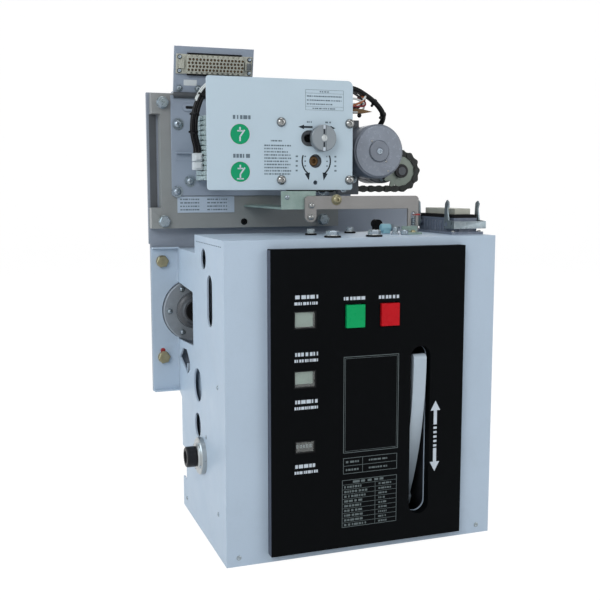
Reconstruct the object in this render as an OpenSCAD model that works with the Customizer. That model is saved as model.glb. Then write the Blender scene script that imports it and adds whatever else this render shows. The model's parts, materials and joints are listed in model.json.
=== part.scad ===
// Front operating unit of a gas-insulated vacuum circuit breaker: a sheet-steel
// mechanism housing on a mounting plate, with a chain-driven three-position
// switch mechanism above it.  +X is to the right of someone facing the unit,
// +Y goes to the back, and the housing stands on z = 0.

/* [Housing] */
// Width over the outer faces of the side walls
housing_w = 374; // [340:1:460]
// Height of the full-height front part
housing_h = 410; // [340:1:500]
// Depth of the full-height front part
front_d = 153; // [150:1:162]
// How far the rear part lies below the housing top
rear_drop = 25; // [10:1:40]
// Depth from the front face to the mounting plate
housing_d = 268; // [262:1:330]
// Depth of the bottom plate
foot_d = 247; // [242:1:255]
// Thickness of the housing sheets
sheet_t = 2.5; // [1.5:0.5:4]

/* [Mounting plate] */
// How far the plate and the wall flanges reach out on each side
flange_w = 39; // [38:1:80]
// Thickness of the plate
plate_t = 6; // [4:1:12]
// Height of the plate above the housing top
plate_over = 198; // [197:1:260]
// Distance from the plate's side edge to the flange bolts
bolt_edge = 16; // [15:1:22]
// Distance from the housing top down to the upper flange bolts
bolt_drop = 44.5; // [40:0.5:60]
// Distance between the rows of flange bolts
bolt_span_z = 142.5; // [110:0.5:150]
// Diameter of the mounting bolt holes
bolt_hole = 11; // [9:0.5:13]

/* [Face panel] */
// Width of the black face panel
panel_w = 267; // [262:1:330]
// Bare border above and below the face panel
panel_border = 11; // [6:1:30]
// Thickness of the face panel
panel_t = 13; // [12:1:18]
// Width of a push button
button_w = 25; // [20:1:32]
// Height of a push button
button_h = 29; // [24:1:36]
// How far a push button goes in
button_travel = 4; // [2:0.5:4]
// Width of the charging slot
slot_w = 28; // [24:1:34]
// Side gap between the charging handle and its slot
handle_gap = 5; // [5:0.5:7]

/* [Cover plate] */
// Width of the switch mechanism's cover plate
cover_w = 201; // [165:1:245]
// Height of the cover plate
cover_h = 144; // [115:1:180]
// Diameter of the selector knob
knob_d = 35; // [28:1:42]
// Sideways travel of the selector knob
knob_travel = 17; // [12:1:22]
// Diameter of the crank hole
crank_hole = 18; // [14:0.5:22]

/* [Drive] */
// Diameter of the motor
motor_d = 75; // [60:1:92]
// Length of the motor
motor_l = 45; // [30:1:60]
// Pitch radius of the sprocket on the motor side
drive_r = 26; // [20:1:31]
// Pitch radius of the sprocket on the crank shaft
driven_r = 37; // [30:1:40]

/* [Hidden] */
$fn = 64;

// Depths are given from the front face of the housing; back() turns one into y.
function back(d) = d - foot_d / 2;
front_y = back(0);
wall_x = housing_w / 2;
rear_h = housing_h - rear_drop;
stem_gap = 0.3;
pin_gap = 0.1;

// --- side wall openings, as (depth, height) ---
peep_at = [103.5, housing_h - 29.5];
peep_r = 13.5;
window_at = [72, housing_h - 81.5];
window_size = [27, 67];
crescent_at = [145, 204];
crescent_r = 23;
lower_hole_at = [148, 147];
lower_hole_r = 17;
shaft_at = [121.5, 111];
shaft_r = 10;
shaft_wall_hole_r = 16;
shaft_disc_t = 10;
shaft_disc_r = 25;
shaft_hub_r = 14;
shaft_hub_l = 14;
link_hole_at = [222, housing_h - 186];
link_hole = [[36, 0], [16, 16], [-10, 18], [-30, 2], [-30, -8], [-12, -18], [2, -12]];
notch_z = [44.5, 91];
notch_depth = 25;
wall_edge_d = foot_d + 3;
shoulder_h = 8;

// --- seals on the mounting plate, one for each pole ---
seal_pitch = wall_x - 23;
seal_z = housing_h - 118;
seal_r = 46;
seal_gap = 1;
seal_t = 14;
seal_hub_r = 19;
seal_hub_l = 26;
seal_cut_d = 169;
seal_cut_h = [75, 86];

// --- mounting plate outline ---
plate_half = wall_x + flange_w;
plate_z = housing_h - 238;
plate_top = housing_h + plate_over;
plate_step_z = rear_h + 6;
plate_shoulder = [13, 36];
plate_tower_x = [-228, 90];
bolt_x = plate_half - bolt_edge;
bolt_rows = [housing_h - bolt_drop - bolt_span_z, housing_h - bolt_drop];

// --- face panel, as (x, z) ---
panel_x = 1.5;
window_x = -87.5;
on_off_z = housing_h - 99;
charge_z = housing_h - 173.5;
counter_z = housing_h - 260;
flag_size = [26.5, 19.5];
counter_size = [24, 13];
flag_recess = 4;
on_x = -20.7;
off_x = 27.2;
button_z = housing_h - 97;
button_gap = 1;
button_proud = 3.5;
button_clear = 5.5;
button_t = panel_t + button_proud - button_travel - button_clear;
stem_r = 4;
stem_l = 30;
slot_x = 72.3;
slot_z = [44, housing_h - 141];

// --- charging handle ---
handle_w = slot_w - 2 * handle_gap;
handle_t = 12;
handle_top_z = slot_z[1] - 11;
handle_front = 1 - panel_t;
eye_r = 12;
pivot_d = 40;
pivot_z = 50;
pivot_pin_r = 4;
pocket_wall = 2;
pocket_d = 72;
pocket_z = [28, slot_z[1] + 16];

// --- mechanism block inside the housing ---
block_side_gap = 39;
block_back = front_d - 5;
block_top = housing_h - sheet_t;

// --- what stands above the housing: x from the mechanism's own zero, z from the housing top ---
mech_to_wall = 187;

// --- multipole connector on the housing ---
con_x = 162;
con_d = [30, 146];
con_flange_w = 48;
con_flange_t = 3.5;
con_body_w = 35;
con_body_h = 22;
con_inset = 7;
gasket_t = 4.5;
insert_w = 24;
insert_h = 8;
insert_inset = 15;
pivot_in = 16;
con_pivot_z = 14;
lever_pin_r = 3;
lever_t = 2;
lever_gap = 5;
lever_boss_r = 6.5;
lever_reach = 20;
lever_plate_z = [-6, 4];
lever_horn = [[-6, 5], [-2, 20], [-5, 27], [-1, 31], [4, 28], [5, 20], [6, 0], [0, -6]];

// --- interlock bar and the brackets that hold it ---
bar_d = 70;
bar_t = 4;
bar_x = [-57.5, 108];
bar_z = [34.5, 52];
bar_corner_r = 5;
bar_leg_w = 16;
bar_left_z = 17.5;
bar_foot_z = 4;
bar_slot = [6.5, 22];
latch_x = [82, 105];
latch_h = 11;
latch_foot = 18;
link_x = [-89, -41];
link_t = 3;
link_h = 24;
bush_at = [70, 12];
bush_r = 6.2;
bush_d = [118, 132];
bush_foot_w = 8;

// --- frame of the switch mechanism ---
frame_d = housing_d - 18;
frame_x = [-224, 62];
frame_z = [4, 196];
frame_t = 3;
frame_notch_x = 12;
frame_notch_z = [34, 167];
frame_foot_x = -227;
frame_bolt_x = [-208.5, 36.5];
frame_bolt_z = [14.5, 182.5];
frame_hole = [-89, 12.5];
frame_hole_r = 4;
base_t = 3;
base_d = frame_d - base_t;
base_x = [-197, 46];
base_z = [51, 193.5];
rating_x = [-189, -104];
rating_z = [26.5, 50];
rating_t = 1;

// --- bracket with the multipole insert ---
plug_x = [-193, -77];
plug_h = 66;
plug_lean = 12;
plug_foot = 15;
plug_insert_size = [111, 27];
plug_insert_z = 42;
plug_insert_t = 10;

// --- cover plate ---
cover_d = 90;
cover_t = 2.5;
cover_right = 17.5;
cover_x0 = cover_right - cover_w;
cover_z0 = 60;
cover_left_r = 3.5;
cover_right_r = 8;
post_at = [[-83.5, 73], [13, 73], [-83.5, 148], [13, 148]];
post_r = 5;
post_screw_r = 3;
dome_r = 6.5;
dome_t = 5;
disc_x = cover_x0 + 44;
isolator_z = 131.5;
earth_z = 83.4;
disc_r = 13;
knob_at = [-28.5, 127.7];
knob_t = 10;
knob_gap = 5;
knob_slot_h = 21;
knob_stem_r = 5;
knob_stem_l = 16;
crank_at = [-35.7, 98];
crank_shaft_r = 6.5;
crank_recess = 5;
pin_hole_at = [-35.7, 69.6];
pin_hole_r = 3;
gear_x = [-74, 4];
gear_z = [78, 162];
gear_l = 66;

// --- motor, gearbox and chain ---
motor_at = [68.2, 113];
bracket_d = 160;
bracket_t = 5;
bracket_x = [24, 57];
bracket_z = [53, 158];
web_z = [74, 114];
boss_r = 13.5;
boss_t = 3;
motor_shaft_r = 5;
motor_out_at = [motor_at[0] + 10, motor_at[1] - 9];
chain_d = 172;
chain_w = 7;
chain_h = 11;
driven_at = crank_at;
drive_at = [130, crank_at[1] - driven_r + drive_r];
gearbox_at = [104, 102];
gearbox_r = 33;
gearbox_d = [184, base_d - 15];
gland_d = 200;
gland_w = 13;
gland_top = gearbox_at[1] + gearbox_r + 5;
output_r = 6;
hub_r = 11;
hub_proud = 3;

// --- wires that the unit holds from end to end, above the housing ---
wire_r = 6;
cable_r = 5;
wire_sides = 10;
bundle_route = [[-169.2, 207, 111], [-169.2, 207, 119], [-174, 202, 136],
  [-175, 197, 154], [-172, 196, 170], [-166, 196, 186], [-156, 199, 199],
  [-144, 205, 207], [-136, 218, 212], [-133, 235, 214]];
cable_route = [[-20, 247, 180], [-20, 238, 180], [-12, 212, 193], [8, 188, 202],
  [30, 168, 204], [48, 156, 201], [66, 152, 191], [82, 154, 180],
  [95, 163, 169], [102, 178, 161], [104, 192, 154], [104, 200, 148],
  [104, 200, gland_top]];
terminal_x = [-163, -142];
terminal_d = 200;
terminal_z = [73, 163];
wire_plug_size = [12, 14, 24];
wire_plug_z = 87;

// --- 2-D helpers ---
// Upright slot with round ends, centred on the origin
module slot2d(size) {
  r = size[0] / 2;
  straight = size[1] - size[0];
  square([size[0], straight], center = true);
  for (s = [-1, 1]) translate([0, s * straight / 2]) circle(r = r);
}

// Rectangle from one corner with its four corner radii, anticlockwise; 0 is square
module round_rect(size, r) {
  difference() {
    square(size);
    for (c = [[0, 0, 0], [1, 0, 1], [1, 1, 2], [0, 1, 3]])
      if (r[c[2]] > 0)
        translate([c[0] * size[0], c[1] * size[1]])
          mirror([c[0], 0]) mirror([0, c[1]]) corner2d(r[c[2]]);
  }
}

// What a corner radius takes away at the origin
module corner2d(r) {
  difference() {
    translate([-1, -1]) square(r + 1);
    translate([r, r]) circle(r = r);
  }
}

// Stands an (x, z) outline up and gives it a thickness to the back from depth d
module upright(d, t) {
  translate([0, back(d) + t, 0]) rotate([90, 0, 0]) linear_extrude(t) children();
}

// Stands a (depth, z) outline up in a plane across x, from x over thickness t
module sideways(x, t) {
  translate([x, front_y, 0]) rotate([90, 0, 90]) linear_extrude(t) children();
}

// Round bar to the back from depth d at (x, z)
module rod_y(at, d, l, r) {
  translate([at[0], back(d), at[1]]) rotate([-90, 0, 0]) cylinder(h = l, r = r);
}

// Round bar across x from x over length l, at (depth, z)
module rod_x(x, at, l, r) {
  translate([x, back(at[0]), at[1]]) rotate([0, 90, 0]) cylinder(h = l, r = r);
}

// Block between two x, two depths and two heights
module slab(x, d, z) {
  translate([x[0], back(d[0]), z[0]]) cube([x[1] - x[0], d[1] - d[0], z[1] - z[0]]);
}

// Moves what is built above the housing to its place
module above() {
  translate([wall_x - mech_to_wall, 0, housing_h]) children();
}

// --- swept wire ---
function unit(v) = v / norm(v);
function tangent(p, i) =
  unit(p[min(i + 1, len(p) - 1)] - p[max(i - 1, 0)]);
function side_of(t) = unit(cross(t, [0.3, 1, 0.2]));
module wire(route, r) {
  p = [for (q = route) [q[0], back(q[1]), q[2]]];
  n = wire_sides;
  rings = [for (i = [0 : len(p) - 1])
    let (t = tangent(p, i), u = side_of(t), v = cross(t, u))
      for (k = [0 : n - 1]) p[i] + r * (cos(k * 360 / n) * u + sin(k * 360 / n) * v)];
  last = (len(p) - 1) * n;
  faces = concat(
    [[for (k = [0 : n - 1]) k]],
    [for (i = [0 : len(p) - 2]) for (k = [0 : n - 1])
      let (a = i * n + k, b = i * n + (k + 1) % n) each [[a, a + n, b], [b, a + n, b + n]]],
    [[for (k = [n - 1 : -1 : 0]) last + k]]);
  polyhedron(rings, faces);
}

// --- housing ---
module wall_outline() {
  difference() {
    polygon([[sheet_t, 0], [sheet_t, housing_h], [front_d, housing_h],
      [front_d, rear_h], [housing_d, rear_h], [housing_d, plate_z],
      [wall_edge_d, plate_z - shoulder_h], [wall_edge_d, notch_z[1]],
      [wall_edge_d - notch_depth, notch_z[1]], [wall_edge_d - notch_depth, notch_z[0]],
      [foot_d, notch_z[0]], [foot_d, 0]]);
    translate(peep_at) circle(r = peep_r);
    translate(window_at) slot2d(window_size);
    translate(crescent_at) circle(r = crescent_r);
    translate(lower_hole_at) circle(r = lower_hole_r);
    translate(shaft_at) circle(r = shaft_wall_hole_r);
    translate(link_hole_at) polygon(link_hole);
    translate([0, seal_z]) polygon([[seal_cut_d, -seal_cut_h[0] / 2],
      [housing_d, -seal_cut_h[1] / 2], [housing_d, seal_cut_h[1] / 2],
      [seal_cut_d, seal_cut_h[0] / 2]]);
  }
}

// Left wall with its outward flange, which goes round the seal
module side_wall() {
  flange_d = housing_d - sheet_t;
  sideways(-wall_x, sheet_t) wall_outline();
  difference() {
    upright(flange_d, sheet_t) difference() {
      translate([-plate_half, plate_z]) square([flange_w + sheet_t, rear_h - plate_z]);
      translate([-seal_pitch, seal_z]) circle(r = seal_r + seal_gap);
    }
    flange_holes(-1, flange_d, sheet_t);
  }
}

module flange_holes(s, d, t) {
  for (z = bolt_rows) rod_y([s * bolt_x, z], d - 1, t + 2, bolt_hole / 2);
}

module left_side() { color([0.74, 0.82, 0.88]) side_wall(); }
module right_side() { color([0.74, 0.82, 0.88]) mirror([1, 0, 0]) side_wall(); }

module front_cover() {
  color([0.78, 0.85, 0.9]) difference() {
    slab([-wall_x, wall_x], [0, sheet_t], [0, housing_h]);
    upright(-1, sheet_t + 2) handle_slot();
    for (x = [on_x, off_x]) rod_y([x, button_z], -1, sheet_t + 2, stem_r + stem_gap);
  }
}

module handle_slot() {
  translate([slot_x, (slot_z[0] + slot_z[1]) / 2]) slot2d([slot_w, slot_z[1] - slot_z[0]]);
}

// Sheet between the side walls; it steps down behind the full-height part
module top_plate() {
  x = [sheet_t - wall_x, wall_x - sheet_t];
  step_d = front_d - sheet_t;
  color([0.76, 0.83, 0.88]) {
    slab(x, [sheet_t, front_d], [housing_h - sheet_t, housing_h]);
    slab(x, [step_d, front_d], [rear_h - sheet_t, housing_h]);
    slab(x, [step_d, housing_d - sheet_t], [rear_h - sheet_t, rear_h]);
  }
}

module bottom_plate() {
  color([0.6, 0.68, 0.76])
    slab([sheet_t - wall_x, wall_x - sheet_t], [sheet_t, foot_d], [0, sheet_t]);
}

module rear_panel() {
  d = wall_edge_d - notch_depth;
  color([0.74, 0.82, 0.88]) slab([sheet_t - wall_x, wall_x - sheet_t],
    [d - 2 * sheet_t, d - sheet_t], [sheet_t, seal_z - seal_r - 26]);
}

module mechanism_block() {
  half = wall_x - block_side_gap;
  pocket_half = slot_w / 2 + pocket_wall;
  color([0.3, 0.33, 0.36]) difference() {
    slab([-half, half], [sheet_t, block_back], [sheet_t, block_top]);
    slab([slot_x - pocket_half, slot_x + pocket_half], [0, sheet_t + pocket_d], pocket_z);
    for (x = [on_x, off_x])
      rod_y([x, button_z], 0, stem_l + button_travel, stem_r + stem_gap);
  }
}

module mounting_plate() {
  shift = wall_x - mech_to_wall;
  color([0.55, 0.57, 0.58]) difference() {
    upright(housing_d, plate_t) polygon([[-plate_half, plate_z], [plate_half, plate_z],
      [plate_half, plate_step_z], [wall_x + plate_shoulder[0], plate_step_z],
      [wall_x + plate_shoulder[0], housing_h + plate_shoulder[1]],
      [plate_tower_x[1] + shift, housing_h + plate_shoulder[1]],
      [plate_tower_x[1] + shift, plate_top], [plate_tower_x[0] + shift, plate_top],
      [plate_tower_x[0] + shift, plate_step_z], [-plate_half, plate_step_z]]);
    for (s = [-1, 1]) flange_holes(s, housing_d, plate_t);
    above() frame_holes(housing_d, plate_t);
  }
}

module frame_holes(d, t) {
  for (x = frame_bolt_x) for (z = frame_bolt_z)
    rod_y([x, z], d - 1, t + 2, bolt_hole / 2);
}

module seal_flanges() {
  color([0.35, 0.36, 0.38]) for (i = [-1, 0, 1]) {
    at = [i * seal_pitch, seal_z];
    rod_y(at, housing_d - seal_t, seal_t, seal_r);
    rod_y(at, housing_d - seal_hub_l, seal_hub_l, seal_hub_r);
  }
}

module shaft_disc() {
  x = -wall_x - shaft_disc_t;
  color([0.8, 0.8, 0.8]) difference() {
    rod_x(x, shaft_at, shaft_disc_t, shaft_disc_r);
    rod_x(x - 1, shaft_at, shaft_disc_t + 2, shaft_r);
  }
}

module shaft_hub() {
  end_x = -wall_x - shaft_disc_t - shaft_hub_l;
  color([0.1, 0.1, 0.11]) {
    rod_x(end_x, shaft_at, -wall_x + block_side_gap - end_x, shaft_r);
    rod_x(end_x, shaft_at, shaft_hub_l, shaft_hub_r);
  }
}

// --- face panel and what it holds ---
module face_panel() {
  hole = [button_w + 2 * button_gap, button_h + 2 * button_gap];
  color([0.06, 0.07, 0.08]) upright(-panel_t, panel_t) difference() {
    translate([panel_x - panel_w / 2, panel_border])
      square([panel_w, housing_h - 2 * panel_border]);
    handle_slot();
    for (z = [on_off_z, charge_z])
      translate([window_x, z]) square(flag_size, center = true);
    translate([window_x, counter_z]) square(counter_size, center = true);
    for (x = [on_x, off_x]) translate([x, button_z]) square(hole, center = true);
  }
}

module flag(z, size) {
  upright(flag_recess - panel_t, panel_t - flag_recess)
    translate([window_x, z]) square(size, center = true);
}
module on_off_flag() { color([0.7, 0.75, 0.68]) flag(on_off_z, flag_size); }
module charge_flag() { color([0.7, 0.75, 0.68]) flag(charge_z, flag_size); }
module counter_dial() { color([0.12, 0.12, 0.13]) flag(counter_z, counter_size); }

module button(x) {
  front = -panel_t - button_proud;
  upright(front, button_t)
    translate([x, button_z]) square([button_w, button_h], center = true);
  rod_y([x, button_z], front + button_t, stem_l, stem_r);
}
module on_button() { color([0.08, 0.65, 0.35]) button(on_x); }
module off_button() { color([0.84, 0.12, 0.15]) button(off_x); }

module handle_pocket() {
  half = slot_w / 2;
  outer = half + pocket_wall;
  color([0.08, 0.08, 0.09]) difference() {
    slab([slot_x - outer, slot_x + outer], [sheet_t, sheet_t + pocket_d], pocket_z);
    slab([slot_x - half, slot_x + half], [sheet_t - 1, sheet_t + pocket_d - pocket_wall],
      [pocket_z[0] + pocket_wall, pocket_z[1] - pocket_wall]);
    rod_x(slot_x - outer - 1, [pivot_d, pivot_z], 2 * outer + 2, pivot_pin_r + pin_gap);
  }
}

// Curved blade, upright at its tip, that leans back into the slot towards its pivot
module charging_handle() {
  tip = [handle_front + handle_t / 2, handle_top_z];
  rise = handle_top_z - pivot_z;
  lean = pivot_d - tip[0];
  arc_r = (rise * rise + lean * lean) / (2 * lean);
  outer = slot_w / 2 + pocket_wall;
  color([0.86, 0.87, 0.88]) {
    sideways(slot_x - handle_w / 2, handle_w) {
      intersection() {
        translate(tip + [arc_r, 0]) difference() {
          circle(r = arc_r + handle_t / 2, $fn = 256);
          circle(r = arc_r - handle_t / 2, $fn = 256);
        }
        translate([handle_front - 1, pivot_z])
          square([pivot_d - handle_front + eye_r, rise - handle_t / 2]);
      }
      translate(tip - [0, handle_t / 2]) circle(r = handle_t / 2);
      translate([pivot_d, pivot_z]) circle(r = eye_r);
    }
    rod_x(slot_x - outer, [pivot_d, pivot_z], 2 * outer, pivot_pin_r);
  }
}

// --- multipole connector on top ---
module con_block(w, inset, z) {
  slab([con_x - w / 2, con_x + w / 2], [con_d[0] + inset, con_d[1] - inset], z);
}

module connector_base() {
  pin_l = con_body_w + 2 * (lever_gap + lever_t);
  color([0.5, 0.53, 0.57]) above() {
    con_block(con_flange_w, 0, [0, con_flange_t]);
    con_block(con_body_w, con_inset, [0, con_body_h]);
    for (d = [con_d[0] + pivot_in, con_d[1] - pivot_in])
      rod_x(con_x - pin_l / 2, [d, con_pivot_z], pin_l, lever_pin_r);
  }
}

module connector_gasket() {
  color([0.05, 0.05, 0.06]) above()
    con_block(con_body_w, con_inset, [con_body_h, con_body_h + gasket_t]);
}

module connector_insert() {
  z = con_body_h + gasket_t;
  color([0.78, 0.74, 0.68]) above() con_block(insert_w, insert_inset, [z, z + insert_h]);
}

// Locking lever at its pivot: two arms on the side pins, joined by a cross plate
module lever() {
  inner = con_body_w / 2 + lever_gap;
  outer_y = -lever_reach - lever_t;
  plate_h = lever_plate_z[1] - lever_plate_z[0];
  for (s = [-1, 1]) translate([s * (inner + lever_t / 2), 0, 0]) rotate([0, 90, 0])
    difference() {
      rotate([0, 0, 90]) linear_extrude(lever_t, center = true) {
        polygon(concat([[outer_y, lever_plate_z[0]], [outer_y, lever_plate_z[1]]],
          lever_horn));
        circle(r = lever_boss_r);
      }
      cylinder(h = 2 * lever_t, r = lever_pin_r + pin_gap, center = true);
    }
  translate([-inner - lever_t, outer_y, lever_plate_z[0]])
    cube([2 * (inner + lever_t), lever_t, plate_h]);
}

module near_lever() {
  color([0.55, 0.58, 0.6]) above()
    translate([con_x, back(con_d[0] + pivot_in), con_pivot_z]) lever();
}
module far_lever() {
  color([0.55, 0.58, 0.6]) above()
    translate([con_x, back(con_d[1] - pivot_in), con_pivot_z]) mirror([0, 1, 0]) lever();
}

// --- interlock ---
module interlock_bar() {
  leg_r = bar_leg_w / 2;
  bar_h = bar_z[1] - bar_z[0];
  color([0.58, 0.58, 0.58]) above() upright(bar_d, bar_t) difference() {
    union() {
      translate([bar_x[0], bar_z[0]])
        round_rect([bar_x[1] - bar_x[0], bar_h], [0, 0, bar_corner_r, bar_corner_r]);
      translate([bar_x[0], bar_left_z + leg_r])
        square([bar_leg_w, bar_z[0] - bar_left_z - leg_r + 1]);
      translate([bar_x[0] + leg_r, bar_left_z + leg_r]) circle(r = leg_r);
      translate([bar_x[1] - bar_leg_w, bar_foot_z])
        square([bar_leg_w, bar_z[0] - bar_foot_z + 1]);
    }
    translate([bar_x[1] - leg_r, (bar_foot_z + bar_z[0]) / 2]) slot2d(bar_slot);
  }
}

module latch_bracket() {
  color([0.68, 0.74, 0.76]) above() {
    slab(latch_x, [bar_d - link_t, bar_d], [0, latch_h]);
    slab(latch_x, [bar_d - latch_foot, bar_d], [0, link_t]);
  }
}

module rubber_bush() {
  color([0.08, 0.08, 0.09]) above() {
    rod_y(bush_at, bush_d[0], bush_d[1] - bush_d[0], bush_r);
    slab([bush_at[0] - bush_foot_w / 2, bush_at[0] + bush_foot_w / 2], bush_d,
      [0, bush_at[1]]);
  }
}

// Plate behind the bar's left end, with an arm back to the frame
module link_bracket() {
  d0 = bar_d + bar_t;
  tab_x = [bar_x[0] + 2, bar_x[0] + bar_leg_w - 2];
  color([0.6, 0.68, 0.66]) above() {
    slab(link_x, [d0, d0 + link_t], [bar_z[0], bar_z[0] + link_h]);
    slab(tab_x, [d0, d0 + link_t], [bar_left_z + 3, bar_z[0]]);
    slab([link_x[0], link_x[1] - 8], [d0, frame_d], [bar_z[0], bar_z[0] + link_t]);
  }
}

// --- frame of the switch mechanism ---
// Shallow tray, open to the mounting plate, with a notch in its left side
module standoff_frame() {
  inner_x = frame_x[0] + frame_notch_x + frame_t;
  color([0.62, 0.62, 0.6]) above() difference() {
    union() {
      slab(frame_x, [frame_d, housing_d], frame_z);
      slab([frame_foot_x, frame_x[1]], [frame_d, housing_d], [frame_z[0], frame_notch_z[0]]);
    }
    slab([frame_x[0] - 1, frame_x[0] + frame_notch_x], [frame_d - 1, housing_d + 1],
      frame_notch_z);
    slab([inner_x, frame_x[1] - frame_t], [frame_d + frame_t, housing_d + 1],
      [frame_z[0] + frame_t, frame_z[1] - frame_t]);
    frame_holes(frame_d, frame_t);
    rod_y(frame_hole, frame_d - 1, frame_t + 2, frame_hole_r);
  }
}

module base_plate() {
  color([0.52, 0.55, 0.6]) above() slab(base_x, [base_d, frame_d], base_z);
}
module rating_plate() {
  color([0.75, 0.78, 0.82]) above() slab(rating_x, [frame_d - rating_t, frame_d], rating_z);
}

// Tilts what is built on the plane of the frame's front over to the front
module leaning() {
  translate([0, back(frame_d), frame_z[1]]) rotate([plug_lean, 0, 0]) children();
}
module plug_bracket() {
  color([0.6, 0.61, 0.6]) above() {
    leaning() translate([plug_x[0], -frame_t, 0])
      cube([plug_x[1] - plug_x[0], frame_t, plug_h]);
    slab(plug_x, [frame_d - frame_t, frame_d - frame_t + plug_foot],
      [frame_z[1], frame_z[1] + frame_t]);
  }
}
module plug_insert() {
  x = (plug_x[0] + plug_x[1] - plug_insert_size[0]) / 2;
  color([0.8, 0.76, 0.66]) above() leaning()
    translate([x, -frame_t - plug_insert_t, plug_insert_z - plug_insert_size[1] / 2])
      cube([plug_insert_size[0], plug_insert_t, plug_insert_size[1]]);
}

// --- cover plate ---
module cover_plate() {
  r = [cover_left_r, cover_left_r, cover_right_r, cover_left_r];
  color([0.7, 0.77, 0.82]) above() difference() {
    upright(cover_d, cover_t) difference() {
      translate([cover_x0, cover_z0]) round_rect([cover_w, cover_h], r);
      knob_slot(knob_slot_h);
    }
    for (p = post_at) rod_y(p, cover_d - 1, cover_t + 2, post_screw_r);
    for (z = [isolator_z, earth_z]) rod_y([disc_x, z], cover_d - 1, cover_t + 2, disc_r);
    rod_y(crank_at, cover_d - 1, cover_t + 2, crank_hole / 2);
    rod_y(pin_hole_at, cover_d - 1, cover_t + 2, pin_hole_r);
  }
}

// Level slot that lets something h high slide from the knob's place to its left stop
module knob_slot(h) {
  translate([knob_at[0] - knob_travel / 2, knob_at[1]]) rotate(90)
    slot2d([h, h + knob_travel]);
}

module cover_posts() {
  color([0.7, 0.72, 0.72]) above() for (p = post_at) {
    rod_y(p, cover_d + cover_t, base_d - cover_d - cover_t, post_r);
    rod_y(p, cover_d, cover_t + 1, post_screw_r);
    rod_y(p, cover_d - dome_t, dome_t, dome_r);
  }
}

module selector_knob() {
  color([0.6, 0.62, 0.64]) above() {
    rod_y(knob_at, cover_d - knob_gap - knob_t, knob_t, knob_d / 2);
    rod_y(knob_at, cover_d - knob_gap - 1, knob_gap + 1 + cover_t + knob_stem_l - 1,
      knob_stem_r);
  }
}

module disc(z) { above() rod_y([disc_x, z], cover_d, cover_t, disc_r); }
module isolator_disc() { color([0.05, 0.62, 0.35]) disc(isolator_z); }
module earth_disc() { color([0.05, 0.62, 0.35]) disc(earth_z); }

module gear_case() {
  d0 = cover_d + cover_t;
  color([0.3, 0.32, 0.34]) above() difference() {
    slab(gear_x, [d0, d0 + gear_l], gear_z);
    upright(d0 - 1, knob_stem_l + 6) knob_slot(2 * (knob_stem_r + stem_gap));
    rod_y(crank_at, d0 - 1, crank_recess + 1, crank_hole / 2);
    rod_y(crank_at, d0, gear_l + 1, crank_shaft_r);
  }
}

module crank_shaft() {
  d0 = cover_d + cover_t + crank_recess;
  color([0.55, 0.45, 0.28]) above() rod_y(crank_at, d0, base_d - d0, crank_shaft_r);
}

// --- drive ---
module motor() {
  color([0.5, 0.53, 0.58]) above() {
    rod_y(motor_at, bracket_d - motor_l, motor_l, motor_d / 2);
    rod_y(motor_at, bracket_d - motor_l - boss_t, boss_t + 1, boss_r);
    rod_y(motor_out_at, bracket_d - 1, gearbox_d[0] - bracket_d + 1, motor_shaft_r);
  }
}

// Front plate for the motor, and a web inside the chain back to the base plate
module motor_bracket() {
  arm_d = gearbox_d[1];
  color([0.4, 0.42, 0.44]) above() difference() {
    union() {
      slab(bracket_x, [bracket_d, bracket_d + bracket_t], bracket_z);
      slab([bracket_x[0], bracket_x[0] + bracket_t], [bracket_d, base_d], web_z);
      slab([bracket_x[0], drive_at[0] + 6], [arm_d, arm_d + bracket_t], web_z);
    }
    rod_y(motor_out_at, bracket_d - 1, bracket_t + 2, motor_shaft_r + stem_gap);
  }
}

module motor_gearbox() {
  color([0.42, 0.44, 0.46]) above() {
    rod_y(gearbox_at, gearbox_d[0], gearbox_d[1] - gearbox_d[0], gearbox_r);
    rod_y(drive_at, chain_d - hub_proud - 1, gearbox_d[0] - chain_d + hub_proud + 2,
      output_r);
    slab([gearbox_at[0] - gland_w / 2, gearbox_at[0] + gland_w / 2],
      [gland_d - gland_w / 2, gland_d + gland_w / 2], [gearbox_at[1], gland_top]);
  }
}

module sprocket(at, r, bore_r) {
  above() difference() {
    union() {
      rod_y(at, chain_d, chain_w, r - chain_h / 2);
      rod_y(at, chain_d - hub_proud, chain_w + 2 * hub_proud, hub_r);
    }
    rod_y(at, chain_d - hub_proud - 1, chain_w + 2 * hub_proud + 2, bore_r);
  }
}
module drive_sprocket() { color([0.5, 0.55, 0.53]) sprocket(drive_at, drive_r, output_r); }
module driven_sprocket() {
  color([0.5, 0.55, 0.53]) sprocket(driven_at, driven_r, crank_shaft_r);
}

// Outline that lies a distance off the pitch line round both sprockets
module chain_loop2d(off) {
  a = drive_at;
  b = driven_at;
  ra = drive_r + off;
  rb = driven_r + off;
  lean = acos((rb - ra) / norm(b - a));
  base = atan2(a[1] - b[1], a[0] - b[0]);
  function edge(c, r, s) = c + r * [cos(base + s * lean), sin(base + s * lean)];
  translate(a) circle(r = ra);
  translate(b) circle(r = rb);
  polygon([edge(b, rb, 1), edge(a, ra, 1), edge(a, ra, -1), edge(b, rb, -1)]);
}
module drive_chain() {
  color([0.12, 0.14, 0.13]) above() upright(chain_d, chain_w) difference() {
    chain_loop2d(chain_h / 2);
    chain_loop2d(-chain_h / 2);
  }
}

// --- wiring ---
module wire_bundle() { color([0.06, 0.06, 0.07]) above() wire(bundle_route, wire_r); }
module motor_cable() { color([0.06, 0.06, 0.07]) above() wire(cable_route, cable_r); }
module terminal_blocks() {
  color([0.75, 0.8, 0.8]) above() slab(terminal_x, [terminal_d, base_d], terminal_z);
}
module wire_plugs() {
  color([0.9, 0.92, 0.92]) above() slab([terminal_x[0] - wire_plug_size[0], terminal_x[0]],
    [terminal_d, terminal_d + wire_plug_size[1]],
    [wire_plug_z, wire_plug_z + wire_plug_size[2]]);
}

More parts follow.
